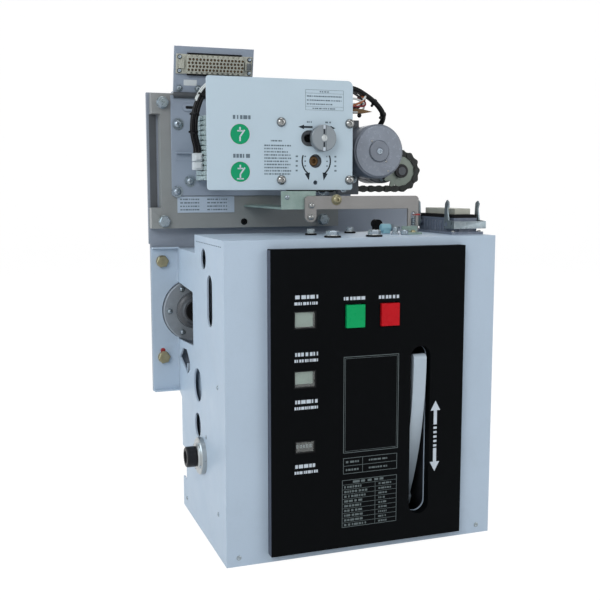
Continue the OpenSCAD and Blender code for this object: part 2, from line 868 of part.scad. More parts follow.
mounting_plate();
left_side();
right_side();
front_cover();
top_plate();
bottom_plate();
rear_panel();
mechanism_block();
seal_flanges();
shaft_disc();
shaft_hub();
face_panel();
handle_pocket();
on_off_flag();
charge_flag();
counter_dial();
on_button();
off_button();
charging_handle();
connector_base();
connector_gasket();
connector_insert();
near_lever();
far_lever();
latch_bracket();
rubber_bush();
interlock_bar();
link_bracket();
standoff_frame();
base_plate();
rating_plate();
plug_bracket();
plug_insert();
cover_plate();
cover_posts();
selector_knob();
isolator_disc();
earth_disc();
crank_shaft();
gear_case();
motor();
motor_bracket();
motor_gearbox();
drive_sprocket();
driven_sprocket();
drive_chain();
wire_bundle();
motor_cable();
terminal_blocks();
wire_plugs();
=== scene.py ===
"""Looks of a vacuum circuit breaker's operating unit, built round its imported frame.

Places are in millimetres: x to the right, d to the back from the front face of the
housing, and z up.  Anchors come from the boxes of the frame's own nodes.
"""
import json
import math
import random

import bmesh
import bpy
from mathutils import Matrix, Vector


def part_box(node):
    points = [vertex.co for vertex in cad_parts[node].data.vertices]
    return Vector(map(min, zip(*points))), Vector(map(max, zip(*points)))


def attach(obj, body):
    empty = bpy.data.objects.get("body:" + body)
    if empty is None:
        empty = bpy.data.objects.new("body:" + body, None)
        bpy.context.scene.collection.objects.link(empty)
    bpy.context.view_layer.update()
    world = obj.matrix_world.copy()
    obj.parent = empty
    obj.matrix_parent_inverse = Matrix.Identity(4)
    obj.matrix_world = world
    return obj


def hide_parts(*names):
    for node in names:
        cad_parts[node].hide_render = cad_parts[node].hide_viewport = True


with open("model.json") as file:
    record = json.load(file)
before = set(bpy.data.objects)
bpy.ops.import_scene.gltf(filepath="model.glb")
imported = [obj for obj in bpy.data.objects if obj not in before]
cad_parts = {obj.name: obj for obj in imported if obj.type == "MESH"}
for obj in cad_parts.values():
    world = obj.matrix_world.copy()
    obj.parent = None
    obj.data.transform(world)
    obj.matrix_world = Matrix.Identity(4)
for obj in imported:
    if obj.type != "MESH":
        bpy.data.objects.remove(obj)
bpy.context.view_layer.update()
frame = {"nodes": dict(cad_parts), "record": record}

MM = 0.001
TAU = 2 * math.pi
FRONT_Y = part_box("front_cover")[0][1]
RECORD = frame["record"]
BODY_OF = {n: b for b, nodes in RECORD["behaviour"]["bodies"].items() for n in nodes}
SLOT_OF = {row["node"]: row["material_slot"] for row in RECORD["subparts"]}


class Place:
    """The box of a CAD node at rest, in millimetres."""

    def __init__(self, node):
        low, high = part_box(node)
        self.x = (low[0] / MM, high[0] / MM)
        self.d = ((low[1] - FRONT_Y) / MM, (high[1] - FRONT_Y) / MM)
        self.z = (low[2] / MM, high[2] / MM)
        self.mid_x = sum(self.x) / 2
        self.mid_d = sum(self.d) / 2
        self.mid_z = sum(self.z) / 2


HOUSING = Place("front_cover")
PANEL = Place("face_panel")
COVER = Place("cover_plate")
TRAY = Place("standoff_frame")
BASE = Place("base_plate")
PLATE = Place("mounting_plate")
WALL = Place("left_side")
TOP = Place("top_plate").z[1]
FACE = PANEL.d[0]

# ---------------------------------------------------------------- node trees


def linear(rgb):
    """A colour given as 0-255 screen values, as the shader wants it."""
    out = []
    for c in rgb:
        c /= 255
        out.append(c / 12.92 if c < 0.04045 else ((c + 0.055) / 1.055) ** 2.4)
    return out


def scaled(rgb, k):
    return tuple(min(c * k, 1.0) for c in linear(rgb)) + (1.0,)


class Graph:
    """Short-hand for building a node tree."""

    def __init__(self, tree):
        self.nodes, self.links = tree.nodes, tree.links

    def add(self, kind, **sockets):
        node = self.nodes.new("ShaderNode" + kind)
        for name, value in sockets.items():
            self.put(node, name.replace("_", " "), value)
        return node

    def put(self, node, name, value):
        socket = node.inputs[name]
        if isinstance(value, bpy.types.NodeSocket):
            self.links.new(value, socket)
        else:
            socket.default_value = value

    def noise(self, vector, scale, detail=3.0, rough=0.55):
        return self.add("TexNoise", Vector=vector, Scale=scale, Detail=detail,
                        Roughness=rough).outputs[0]

    def span(self, value, low, high, to_low, to_high):
        node = self.add("MapRange", Value=value, From_Min=low, From_Max=high,
                        To_Min=to_low, To_Max=to_high)
        return node.outputs[0]

    def blend(self, factor, a, b):
        node = self.nodes.new("ShaderNodeMix")
        node.data_type = "RGBA"
        for index, value in ((0, factor), (6, a), (7, b)):
            self.put(node, index, value)
        return node.outputs[2]

    def calc(self, operation, a, b):
        node = self.nodes.new("ShaderNodeMath")
        node.operation = operation
        self.put(node, 0, a)
        self.put(node, 1, b)
        return node.outputs[0]


def fresh_graph(owner):
    """An empty node tree on a material or a world."""
    owner.use_nodes = True
    owner.node_tree.nodes.clear()
    return Graph(owner.node_tree)


# ---------------------------------------------------------------- camera and stage


CAMERA_LENS = 54.5
CAMERA_AT = (-0.4648, -1.17806, 0.47559)
CAMERA_DOWN = 7.176
CAMERA_TURN = -19.583
WORLD_LIGHT = 0.37
STAGE_GLOW = 1.1
STAGE_GLOW_SHARE = 0.86


def add_camera():
    """The camera stands a little left of the unit and looks slightly down at it."""
    data = bpy.data.cameras.new("camera")
    data.lens = CAMERA_LENS
    data.sensor_width = 36.0
    camera = bpy.data.objects.new("camera", data)
    camera.location = CAMERA_AT
    camera.rotation_euler = (math.radians(90 - CAMERA_DOWN), 0, math.radians(CAMERA_TURN))
    bpy.context.scene.collection.objects.link(camera)
    bpy.context.scene.camera = camera


def stage_material():
    """Nearly white for the camera, and it keeps a soft shadow under the unit."""
    material = bpy.data.materials.new("stage_white")
    g = fresh_graph(material)
    rays = g.add("LightPath").outputs
    seen = g.calc("MAXIMUM", rays["Is Camera Ray"], rays["Is Glossy Ray"])
    mix = g.add("MixShader")
    sources = (g.calc("MULTIPLY", seen, STAGE_GLOW_SHARE),
               g.add("BsdfDiffuse", Color=(0.86, 0.86, 0.86, 1)).outputs[0],
               g.add("Emission", Color=(1, 1, 1, 1), Strength=STAGE_GLOW).outputs[0])
    for index, source in enumerate(sources):
        g.put(mix, index, source)
    g.add("OutputMaterial", Surface=mix.outputs[0])
    return material


def add_stage():
    """A round pale floor that curves up into a backdrop on all sides."""
    floor_r, rise_r, wall_h, sides = 5.0, 1.5, 4.0, 64
    profile = [(floor_r * k / 4, 0.0) for k in range(1, 5)]
    for k in range(1, 9):
        a = k / 8 * math.pi / 2
        profile.append((floor_r + rise_r * math.sin(a), rise_r * (1 - math.cos(a))))
    profile.append((floor_r + rise_r, wall_h))
    bm = bmesh.new()
    rows = [[bm.verts.new((r * math.cos(TAU * i / sides), r * math.sin(TAU * i / sides), z - 3e-4))
             for i in range(sides)] for r, z in profile]
    for a, b in zip(rows, rows[1:]):
        for i in range(sides):
            bm.faces.new((a[i], b[i], b[(i + 1) % sides], a[(i + 1) % sides]))
    bm.faces.new(rows[0])
    mesh = bpy.data.meshes.new("stage_floor")
    bm.to_mesh(mesh)
    bm.free()
    mesh.shade_smooth()
    floor = bpy.data.objects.new("stage_floor", mesh)
    mesh.materials.append(stage_material())
    bpy.context.scene.collection.objects.link(floor)


def add_world():
    """Plain light for the unit, and white where the camera sees past the stage."""
    world = bpy.data.worlds.new("studio")
    g = fresh_graph(world)
    rays = g.add("LightPath").outputs
    seen = g.calc("MAXIMUM", rays["Is Camera Ray"], rays["Is Transmission Ray"])
    strength = g.span(seen, 0.0, 1.0, WORLD_LIGHT, 1.0)
    background = g.add("Background", Color=(0.985, 0.99, 1.0, 1), Strength=strength)
    g.add("OutputWorld", Surface=background.outputs[0])
    bpy.context.scene.world = world


# name, place and size in metres, power in watts, colour
LAMPS = [
    ("key_lamp", (-1.9, -2.3, 1.9), 1.6, 45, (1, 1, 1)),
    ("fill_lamp", (2.2, -2.4, 1.3), 2.0, 23, (1, 1, 1)),
    ("top_lamp", (0.1, -0.2, 3.0), 1.8, 21, (1, 1, 1)),
    ("left_lamp", (-2.8, 0.5, 1.2), 1.6, 21, (0.78, 0.91, 1.0)),
    ("back_lamp", (0.6, 2.8, 1.8), 2.0, 19, (1, 1, 1)),
]


def add_lamps():
    for name, place, size, power, colour in LAMPS:
        data = bpy.data.lights.new(name, "AREA")
        data.shape = "DISK"
        data.size = size
        data.energy = power
        data.color = colour
        lamp = bpy.data.objects.new(name, data)
        lamp.location = place
        aim = Vector((0, 0, 0.3)) - Vector(place)
        lamp.rotation_euler = aim.to_track_quat("-Z", "Y").to_euler()
        bpy.context.scene.collection.objects.link(lamp)


add_camera()
add_stage()
add_world()
add_lamps()
bpy.context.scene.view_settings.view_transform = "Standard"

# ---------------------------------------------------------------- materials


def surface(name, rgb, rough=0.45, metal=0.0, mottle=0.05, mottle_scale=7.0, tint=None,
            grain=0.15, grain_scale=900.0, stretch=(1, 1, 1), wear=0.0, wear_rgb=(190, 192, 195),
            dirt=0.0, coat=0.0, clear=0.0, soft=0.0, rough_spread=0.08, spec=0.35):
    """One procedural finish: mottled colour, fine grain, worn edges and dull spots."""
    material = bpy.data.materials.new(name)
    g = fresh_graph(material)
    place = g.add("TexCoord").outputs["Object"]
    mapped = g.add("Mapping", Vector=place, Scale=stretch).outputs[0]
    cloud = g.noise(place, mottle_scale, 5.0)
    fine = g.noise(mapped, grain_scale, 2.0)
    cloud_share = g.span(cloud, 0.32, 0.68, 0.0, 1.0)
    colour = g.blend(cloud_share, scaled(rgb, 1 - mottle), scaled(tint or rgb, 1 + mottle))
    grain_share = g.span(fine, 0.35, 0.65, 0.0, 0.35 * grain + 0.08)
    colour = g.blend(grain_share, colour, scaled(rgb, 0.72))
    if dirt:
        patch = g.noise(place, 23.0, 8.0, 0.7)
        colour = g.blend(g.span(patch, 0.5, 0.78, 0.0, dirt), colour, scaled((70, 66, 58), 1))
    if wear:
        edge = g.add("NewGeometry").outputs["Pointiness"]
        chip = g.noise(place, 160.0, 4.0, 0.7)
        share = g.calc("MULTIPLY", g.span(edge, 0.53, 0.6, 0.0, 1.0),
                       g.span(chip, 0.42, 0.62, 0.0, wear))
        colour = g.blend(share, colour, scaled(wear_rgb, 1))
    dull = g.noise(place, mottle_scale * 4, 6.0, 0.65)
    roughness = g.span(dull, 0.3, 0.7, max(rough - rough_spread, 0.03), rough + rough_spread)
    bump = g.add("Bump", Height=fine, Strength=min(grain + 0.05, 1.0), Distance=0.0001)
    shader = g.add("BsdfPrincipled", Base_Color=colour, Metallic=metal, Roughness=roughness,
                   Normal=bump.outputs[0], Specular_IOR_Level=spec, Coat_Weight=coat,
                   Coat_Roughness=0.12, Transmission_Weight=clear)
    if soft:
        shader.inputs["Subsurface Weight"].default_value = soft
        shader.inputs["Subsurface Radius"].default_value = (0.004, 0.004, 0.004)
    g.add("OutputMaterial", Surface=shader.outputs[0])
    return material


# look: record's slot, then what surface() takes
LOOKS = {
    "housing_paint": ("housing_paint", dict(rgb=(171, 188, 205), rough=0.42, mottle=0.025,
                      grain=0.12, grain_scale=1300, dirt=0.05, coat=0.05, spec=0.3)),
    "cover_paint": ("cover_paint", dict(rgb=(176, 194, 206), rough=0.4, mottle=0.02,
                    grain=0.1, grain_scale=1400, dirt=0.03, coat=0.06, spec=0.3)),
    "plate_grey": ("plate_grey", dict(rgb=(136, 145, 158), rough=0.42, mottle=0.05,
                   grain=0.16, grain_scale=1100, dirt=0.1)),
    "frame_grey": ("frame_grey", dict(rgb=(138, 141, 142), rough=0.4, mottle=0.05,
                   tint=(132, 138, 138), grain=0.16, grain_scale=1000, dirt=0.12)),
    "base_grey": ("base_grey", dict(rgb=(142, 154, 170), rough=0.36, mottle=0.05,
                  grain=0.14, grain_scale=1200, dirt=0.08)),
    "dark_steel": ("dark_steel", dict(rgb=(84, 88, 93), rough=0.42, metal=0.25, mottle=0.1,
                   mottle_scale=18, grain=0.2, grain_scale=900, dirt=0.25, spec=0.2)),
    # near black for the shaded inside of the unit: painted shade, used on the mechanism core, the
    # window backs and the tab's slot
    "painted_shade_black": ("dark_steel", dict(rgb=(22, 24, 26), rough=0.6, mottle=0.2,
                    mottle_scale=20, grain=0.3, grain_scale=500, spec=0.1)),
    "seal_steel": ("dark_steel", dict(rgb=(140, 148, 156), rough=0.34, metal=0.3, mottle=0.1,
                   mottle_scale=24, grain=0.25, grain_scale=700, dirt=0.1, spec=0.3)),
    "bright_metal": ("bright_metal", dict(rgb=(172, 178, 180), rough=0.3, metal=0.8, mottle=0.06,
                     grain=0.2, grain_scale=900, dirt=0.06)),
    "black_steel": ("black_steel", dict(rgb=(26, 27, 31), rough=0.4, metal=0.1, mottle=0.15,
                    mottle_scale=30, grain=0.2, spec=0.25)),
    "panel_black": ("panel_black", dict(rgb=(8, 10, 12), rough=0.42, mottle=0.1, mottle_scale=5,
                    grain=0.08, grain_scale=1500, spec=0.03)),
    # grey copy of the panel's black for its side faces: painted highlight where light catches the
    # sides
    "panel_edge_highlight": ("panel_black", dict(rgb=(80, 86, 100), rough=0.42, mottle=0.05, grain=0.08,
                   grain_scale=1500, spec=0.1)),
    "flag_pale": ("flag_green", dict(rgb=(168, 184, 176), rough=0.42, mottle=0.05,
                  mottle_scale=40, grain=0.15)),
    "black_plastic": ("black_plastic", dict(rgb=(20, 21, 23), rough=0.5, mottle=0.1, grain=0.3,
                      spec=0.15)),
    "button_green": ("button_green", dict(rgb=(10, 152, 90), rough=0.3, mottle=0.04,
                     mottle_scale=30, grain=0.06, spec=0.1)),
    "button_red": ("button_red", dict(rgb=(180, 20, 30), rough=0.3, mottle=0.04,
                   mottle_scale=30, grain=0.06, spec=0.1)),
    "handle_white": ("handle_white", dict(rgb=(168, 182, 194), rough=0.42, mottle=0.03,
                     mottle_scale=14, grain=0.12, dirt=0.08, soft=0.03)),
    "diecast_grey": ("diecast_grey", dict(rgb=(98, 108, 124), rough=0.42, metal=0.15, mottle=0.07,
                     mottle_scale=30, grain=0.4, grain_scale=650, wear=0.25)),
    "black_rubber": ("black_rubber", dict(rgb=(17, 17, 19), rough=0.75, mottle=0.15, grain=0.5,
                     grain_scale=600, spec=0.15)),
    "insert_ivory": ("insert_ivory", dict(rgb=(168, 170, 160), rough=0.48, mottle=0.06,
                     mottle_scale=40, grain=0.2, dirt=0.2, soft=0.05)),
    "lever_steel": ("lever_steel", dict(rgb=(120, 132, 138), rough=0.32, metal=0.6, mottle=0.1,
                    mottle_scale=45, grain=0.2, wear=0.3, dirt=0.1)),
    "zinc": ("zinc_steel", dict(rgb=(146, 158, 160), tint=(138, 150, 164), rough=0.3, metal=0.7,
             mottle=0.1, mottle_scale=60, grain=0.12, grain_scale=900, dirt=0.1)),
    "yellow_zinc": ("zinc_steel", dict(rgb=(134, 126, 98), tint=(142, 138, 112), rough=0.36,
                    metal=0.6, mottle=0.14, mottle_scale=70, grain=0.12, dirt=0.2)),
    "chrome": ("zinc_steel", dict(rgb=(140, 142, 142), rough=0.2, metal=0.9, mottle=0.06,
               mottle_scale=60, grain=0.05, dirt=0.05)),
    "galvanised": ("zinc_steel", dict(rgb=(122, 144, 138), tint=(134, 152, 148), rough=0.45,
                   metal=0.25, mottle=0.09, mottle_scale=50, grain=0.15, grain_scale=500,
                   dirt=0.1)),
    "bar_steel": ("bar_steel", dict(rgb=(132, 131, 130), rough=0.4, metal=0.35, mottle=0.06,
                  mottle_scale=16, grain=0.25, grain_scale=260, stretch=(1, 1, 7), dirt=0.2)),
    "foil": ("label_silver", dict(rgb=(172, 187, 203), rough=0.34, metal=0.15, mottle=0.04,
             mottle_scale=30, grain=0.1, grain_scale=700)),
    "knob_metal": ("knob_metal", dict(rgb=(126, 134, 140), rough=0.34, metal=0.45, mottle=0.04,
                   mottle_scale=30, grain=0.15, grain_scale=500, stretch=(6, 1, 1))),
    "disc_green": ("disc_green", dict(rgb=(6, 142, 96), rough=0.4, mottle=0.04,
                   mottle_scale=40, grain=0.1, spec=0.2)),
    "brass": ("shaft_brass", dict(rgb=(96, 72, 42), rough=0.4, metal=0.4, mottle=0.16,
              mottle_scale=60, grain=0.2, dirt=0.25)),
    "motor_grey": ("motor_grey", dict(rgb=(110, 117, 128), rough=0.38, metal=0.15, mottle=0.05,
                   mottle_scale=20, grain=0.1, dirt=0.06)),
    "motor_film": ("motor_grey", dict(rgb=(118, 126, 138), rough=0.24, metal=0.15, mottle=0.09,
                   mottle_scale=34, grain=0.15, grain_scale=120, coat=0.25, rough_spread=0.1)),
    "sprocket_steel": ("sprocket_steel", dict(rgb=(122, 132, 124), rough=0.44, metal=0.3,
                       mottle=0.08, mottle_scale=30, grain=0.2, dirt=0.15)),
    "chain_black": ("chain_black", dict(rgb=(36, 39, 38), rough=0.4, metal=0.3, mottle=0.25,
                    mottle_scale=60, grain=0.2, wear=0.2, wear_rgb=(96, 98, 94), spec=0.25)),
    "wire_black": ("wire_black", dict(rgb=(18, 19, 21), rough=0.42, mottle=0.15, mottle_scale=60,
                   grain=0.2, spec=0.25)),
    "sleeve_black": ("wire_black", dict(rgb=(20, 22, 23), rough=0.6, mottle=0.15, grain=0.7,
                     grain_scale=420, spec=0.15)),
    "wire_white": ("plug_white", dict(rgb=(196, 202, 202), rough=0.4, mottle=0.05, grain=0.1)),
    "wire_orange": ("shaft_brass", dict(rgb=(150, 84, 46), rough=0.4, mottle=0.08, grain=0.1)),
    "wire_red": ("button_red", dict(rgb=(112, 24, 32), rough=0.4, mottle=0.08, grain=0.1)),
    "terminal_clear": ("terminal_clear", dict(rgb=(170, 188, 190), rough=0.3, mottle=0.08,
                       mottle_scale=60, grain=0.12, soft=0.2, coat=0.1)),
    "plug_white": ("plug_white", dict(rgb=(200, 208, 212), rough=0.4, mottle=0.04,
                   mottle_scale=50, grain=0.12, soft=0.05)),
    "ink_white": ("plug_white", dict(rgb=(186, 196, 206), rough=0.55, mottle=0.06,
                  mottle_scale=80, grain=0.15, spec=0.15)),
    "ink_pale": ("terminal_clear", dict(rgb=(96, 106, 108), rough=0.55, mottle=0.08,
                 mottle_scale=80, grain=0.15, spec=0.1)),
    "ink_black": ("black_plastic", dict(rgb=(30, 38, 46), rough=0.5, mottle=0.1, grain=0.1,
                  spec=0.15)),
    "ink_grey": ("black_plastic", dict(rgb=(96, 110, 120), rough=0.5, mottle=0.1, grain=0.1,
                 spec=0.15)),
    "paint_red": ("button_red", dict(rgb=(150, 44, 46), rough=0.45, mottle=0.1, grain=0.2)),
    "clamp_blue": ("terminal_clear", dict(rgb=(124, 168, 182), rough=0.35, mottle=0.08, grain=0.1,
                   coat=0.2)),
    "pane_clear": ("terminal_clear", dict(rgb=(235, 242, 240), rough=0.08, mottle=0.01,
                   grain=0.02, clear=0.95, rough_spread=0.03, spec=0.2)),
}
made_looks = {}


def look(name):
    if name not in made_looks:
        made_looks[name] = surface(name, **LOOKS[name][1])
    return made_looks[name]


# which look the record's slots take on CAD nodes that stay as they are
SLOT_LOOK = {slot: name for name, (slot, _) in reversed(list(LOOKS.items()))}
for special in ("housing_paint", "zinc", "brass", "button_red", "plug_white", "dark_steel",
                "terminal_clear", "black_plastic", "wire_black", "motor_grey"):
    SLOT_LOOK[LOOKS[special][0]] = special
# the mechanism core takes the near-black painted shade, so openings into the housing read as shaded
# inside
NODE_LOOK = {"mechanism_block": "painted_shade_black", "gear_case": "dark_steel",
             "link_bracket": "galvanised", "latch_bracket": "galvanised",
             "plug_bracket": "base_grey"}

# ---------------------------------------------------------------- shapes


SHARP_EDGE = 40


def smooth(mesh, angle=32):
    mesh.shade_smooth()
    mesh.set_sharp_from_angle(angle=math.radians(angle))


def break_edges(piece, width, segments=2):
    bevel = piece.modifiers.new("edges", "BEVEL")
    bevel.width = width * MM
    bevel.segments = segments
    bevel.limit_method = "ANGLE"
    bevel.angle_limit = math.radians(SHARP_EDGE)
    bevel.use_clamp_overlap = True
    bevel.harden_normals = True


def declare(piece, body, replaces=()):
    bpy.context.scene.collection.objects.link(piece)
    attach(piece, body)
    if replaces:
        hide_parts(*replaces)


class Shape:
    """Collects simple solids and makes them one piece of the unit."""

    def __init__(self):
        self.bm = bmesh.new()

    def loft(self, rings, ring_closed=False):
        """Skins over rings of points; the two ends are capped unless they meet."""
        rows = [[self.bm.verts.new(p) for p in ring] for ring in rings]
        pairs = list(zip(rows, rows[1:]))
        if ring_closed:
            pairs.append((rows[-1], rows[0]))
        for a, b in pairs:
            for i in range(len(a)):
                j = (i + 1) % len(a)
                self.bm.faces.new((a[i], a[j], b[j], b[i]))
        if not ring_closed:
            self.bm.faces.new(rows[0][::-1])
            self.bm.faces.new(rows[-1])
        return self

    def box(self, x, d, z):
        rings = [[(x[0], d[0], h), (x[1], d[0], h), (x[1], d[1], h), (x[0], d[1], h)] for h in z]
        return self.loft(rings)

    def prism(self, outline, d):
        """An (x, z) outline from one depth to another."""
        return self.loft([[(x, depth, z) for x, z in outline] for depth in d])

    def turned(self, start, axis, profile, sides=32, hollow=False, phase=0.0):
        """A turned solid: profile is (distance along the axis, radius) from start."""
        axis = Vector(axis).normalized()
        side = axis.cross(Vector((0.13, 0.31, 0.94)) if abs(axis.z) < 0.8 else Vector((1, 0, 0)))
        side.normalize()
        other = axis.cross(side)
        rings = []
        for along, r in profile:
            centre = Vector(start) + axis * along
            r = max(r, 0.02)
            rings.append([centre + side * (r * math.cos(a)) + other * (r * math.sin(a))
                          for a in (TAU * i / sides + phase for i in range(sides))])
        return self.loft(rings, hollow)

    def rod(self, start, axis, length, r, chamfer=0.0, sides=32):
        c = min(chamfer, r * 0.9, length * 0.45)
        profile = [(0, r - c), (c, r), (length - c, r), (length, r - c)] if c else \
            [(0, r), (length, r)]
        return self.turned(start, axis, profile, sides)

    def ring(self, start, axis, length, r, inner, sides=32):
        profile = [(0, inner), (0, r), (length, r), (length, inner)]
        return self.turned(start, axis, profile, sides, hollow=True)

    def tube(self, points, r, sides=8):
        """A round tube along points, which are taken as they are."""
        points = [Vector(p) for p in points]
        tangents = []
        for i in range(len(points)):
            a, b = points[max(i - 1, 0)], points[min(i + 1, len(points) - 1)]
            tangents.append((b - a).normalized())
        side = tangents[0].orthogonal().normalized()
        rings = []
        for p, t in zip(points, tangents):
            side = (side - t * side.dot(t)).normalized()
            other = t.cross(side)
            rings.append([p + side * (r * math.cos(a)) + other * (r * math.sin(a))
                          for a in (TAU * k / sides for k in range(sides))])
        return self.loft(rings)

    def finish(self, name, look_name, body="root", bevel=0.0, replaces=(), matrix=None,
               segments=2, angle=32):
        if matrix:
            self.bm.transform(matrix)
        bmesh.ops.recalc_face_normals(self.bm, faces=self.bm.faces)
        for v in self.bm.verts:
            v.co = (v.co.x * MM, FRONT_Y + v.co.y * MM, v.co.z * MM)
        mesh = bpy.data.meshes.new(name)
        self.bm.to_mesh(mesh)
        self.bm.free()
        smooth(mesh, angle)
        mesh.materials.append(look(look_name))
        piece = bpy.data.objects.new(name, mesh)
        if bevel:
            break_edges(piece, bevel, segments)
        declare(piece, body, replaces)
        return piece


def curve_through(points, steps=6):
    """Points on a smooth curve through the given ones."""
    pts = [Vector(p) for p in points]
    pts = [2 * pts[0] - pts[1]] + pts + [2 * pts[-1] - pts[-2]]
    out = []
    for i in range(1, len(pts) - 2):
        a, b, c, e = pts[i - 1:i + 3]
        for k in range(steps):
            t = k / steps
            out.append(0.5 * (2 * b + (c - a) * t + (2 * a - 5 * b + 4 * c - e) * t * t
                              + (3 * b - a - 3 * c + e) * t ** 3))
    return out + [pts[-2]]


def edged(node, width, segments=2):
    """A copy of a CAD node with its sharp edges broken, which stands for the node."""
    look_name = NODE_LOOK.get(node) or SLOT_LOOK[SLOT_OF[node]]
    mesh = frame["nodes"][node].data.copy()
    mesh.name = node + "_skin"
    bm = bmesh.new()
    bm.from_mesh(mesh)
    bmesh.ops.remove_doubles(bm, verts=bm.verts, dist=2e-6)
    bmesh.ops.dissolve_limit(bm, angle_limit=math.radians(0.8), verts=bm.verts, edges=bm.edges)
    bm.to_mesh(mesh)
    bm.free()
    smooth(mesh, 30)
    mesh.materials.clear()
    mesh.materials.append(look(look_name))
    piece = bpy.data.objects.new(node + "_skin", mesh)
    break_edges(piece, width, segments)
    declare(piece, BODY_OF[node], (node,))
    return piece


def rounded(x, z, r):
    """Outline of an (x, z) rectangle with round corners."""
    steps = 5
    out = []
    for cx, cz, a0 in ((x[1] - r, z[0] + r, -90), (x[1] - r, z[1] - r, 0),
                       (x[0] + r, z[1] - r, 90), (x[0] + r, z[0] + r, 180)):
        for k in range(steps + 1):
            a = math.radians(a0 + 90 * k / steps)
            out.append((cx + r * math.cos(a), cz + r * math.sin(a)))
    return out


# ---------------------------------------------------------------- fasteners

FORWARD = (0, -1, 0)
BACK = (0, 1, 0)
UP = (0, 0, 1)


def on_circle(centre, r, angles):
    """Places round an (x, depth, z) centre, in an upright plane."""
    return [(centre[0] + r * math.cos(a), centre[1], centre[2] + r * math.sin(a)) for a in angles]


def hexagon(shape, start, axis, length, across):
    r = across / math.sqrt(3)
    profile = [(0, r), (length * 0.78, r), (length, r * 0.88)]
    return shape.turned(start, axis, profile, 6, phase=0.26)


def hex_bolts(name, places, axis, across, height, look_name, washer=0.0, thread=0.0):
    """Hexagon bolts with a washer; each place is where the washer rests."""
    shape = Shape()
    lift = 1.6 if washer else 0.0
    for p in places:
        base = Vector(p)
        if washer:
            shape.turned(base, axis, [(0, washer), (1.1, washer), (lift, washer - 0.6)], 28)
        hexagon(shape, base + Vector(axis) * lift, axis, height, across)
        shape.turned(base + Vector(axis) * (lift + height - 0.2), axis,
                     [(0, across * 0.40), (0.5, across * 0.36)], 20)
        if thread:
            shape.rod(base - Vector(axis) * thread, axis, thread + 0.5, across * 0.29, 0.4, 20)
    return shape.finish(name, look_name)


def dome_screws(name, places, axis, r, height, look_name, washer=0.0):
    """Button-head screws, with a round drive recess."""
    shape = Shape()
    lift = 1.0 if washer else 0.0
    for p in places:
        base = Vector(p)
        if washer:
            shape.turned(base, axis, [(0, washer), (lift, washer - 0.2)], 24)
        profile = [(lift, r)]
        profile += [(lift + height * math.sin(a), r * math.cos(a) ** 0.8)
                    for a in (math.radians(k) for k in (12, 28, 44, 58, 68))]
        profile += [(lift + height * 0.94, r * 0.34), (lift + height * 0.35, r * 0.28)]
        shape.turned(base, axis, profile, 24)
    return shape.finish(name, look_name, angle=50)


# ---------------------------------------------------------------- flat prints

INK = 0.12


class Print:
    """Thin flat shapes laid on an upright face at one depth."""

    def __init__(self, depth):
        self.shape = Shape()
        self.d = (depth - INK, depth)

    def area(self, outline):
        self.shape.prism(outline, self.d)

    def rect(self, x, z):
        self.area([(x[0], z[0]), (x[1], z[0]), (x[1], z[1]), (x[0], z[1])])

    def outline(self, x, z, w=0.5):
        self.rect((x[0], x[1]), (z[0], z[0] + w))
        self.rect((x[0], x[1]), (z[1] - w, z[1]))
        self.rect((x[0], x[0] + w), (z[0] + w, z[1] - w))
        self.rect((x[1] - w, x[1]), (z[0] + w, z[1] - w))

    def dashes(self, x, z, height, unit, rng):
        """A row of plain short bars, in the place of printed words."""
        at = x[0]
        while at < x[1] - unit * 0.4:
            length = min(unit * rng.choice((0.6, 1.0, 1.0, 1.7)), x[1] - at)
            self.rect((at, at + length), (z - height / 2, z + height / 2))
            at += length + unit * rng.choice((0.35, 0.35, 0.7))

    def line(self, a, b, w):
        a, b = Vector(a), Vector(b)
        across = (b - a).normalized().orthogonal() * (w / 2)
        self.area([tuple(a - across), tuple(b - across), tuple(b + across), tuple(a + across)])

    def band(self, centre, r, w, start, end, steps=24):
        """Part of a circular line, with its angles in degrees."""
        angles = [math.radians(start + (end - start) * k / steps) for k in range(steps + 1)]
        outer = [(centre[0] + (r + w / 2) * math.cos(a), centre[1] + (r + w / 2) * math.sin(a))
                 for a in angles]
        inner = [(centre[0] + (r - w / 2) * math.cos(a), centre[1] + (r - w / 2) * math.sin(a))
                 for a in angles]
        for i in range(steps):
            self.area([outer[i], outer[i + 1], inner[i + 1], inner[i]])

    def head(self, tip, direction, length, width):
        tip, direction = Vector(tip), Vector(direction).normalized()
        across = direction.orthogonal() * (width / 2)
        foot = tip - direction * length
        self.area([tuple(tip), tuple(foot + across), tuple(foot - across)])

    def finish(self, name, look_name, body="root"):
        return self.shape.finish(name, look_name, body)


# ---------------------------------------------------------------- sheet metal


def add_sheet_metal():
    """CAD shapes that are right as they are, with their edges broken."""
    for node, width in (("front_cover", 0.9), ("left_side", 0.5), ("right_side", 0.5),
                        ("top_plate", 0.5), ("bottom_plate", 0.5), ("rear_panel", 0.4),
                        ("mounting_plate", 0.8), ("face_panel", 0.9), ("cover_plate", 0.45),
                        ("standoff_frame", 0.9), ("base_plate", 0.7), ("plug_bracket", 0.7),
                        ("motor_bracket", 0.8), ("latch_bracket", 0.5), ("link_bracket", 0.5),
                        ("interlock_bar", 0.5), ("gear_case", 1.0), ("rating_plate", 0.2),
                        ("on_button", 0.9), ("off_button", 0.9), ("charging_handle", 1.6),
                        ("connector_base", 0.8), ("connector_gasket", 0.8),
                        ("connector_insert", 0.5), ("near_lever", 0.35), ("far_lever", 0.35),
                        ("rubber_bush", 0.5)):
        edged(node, width, segments=3 if node == "charging_handle" else 2)


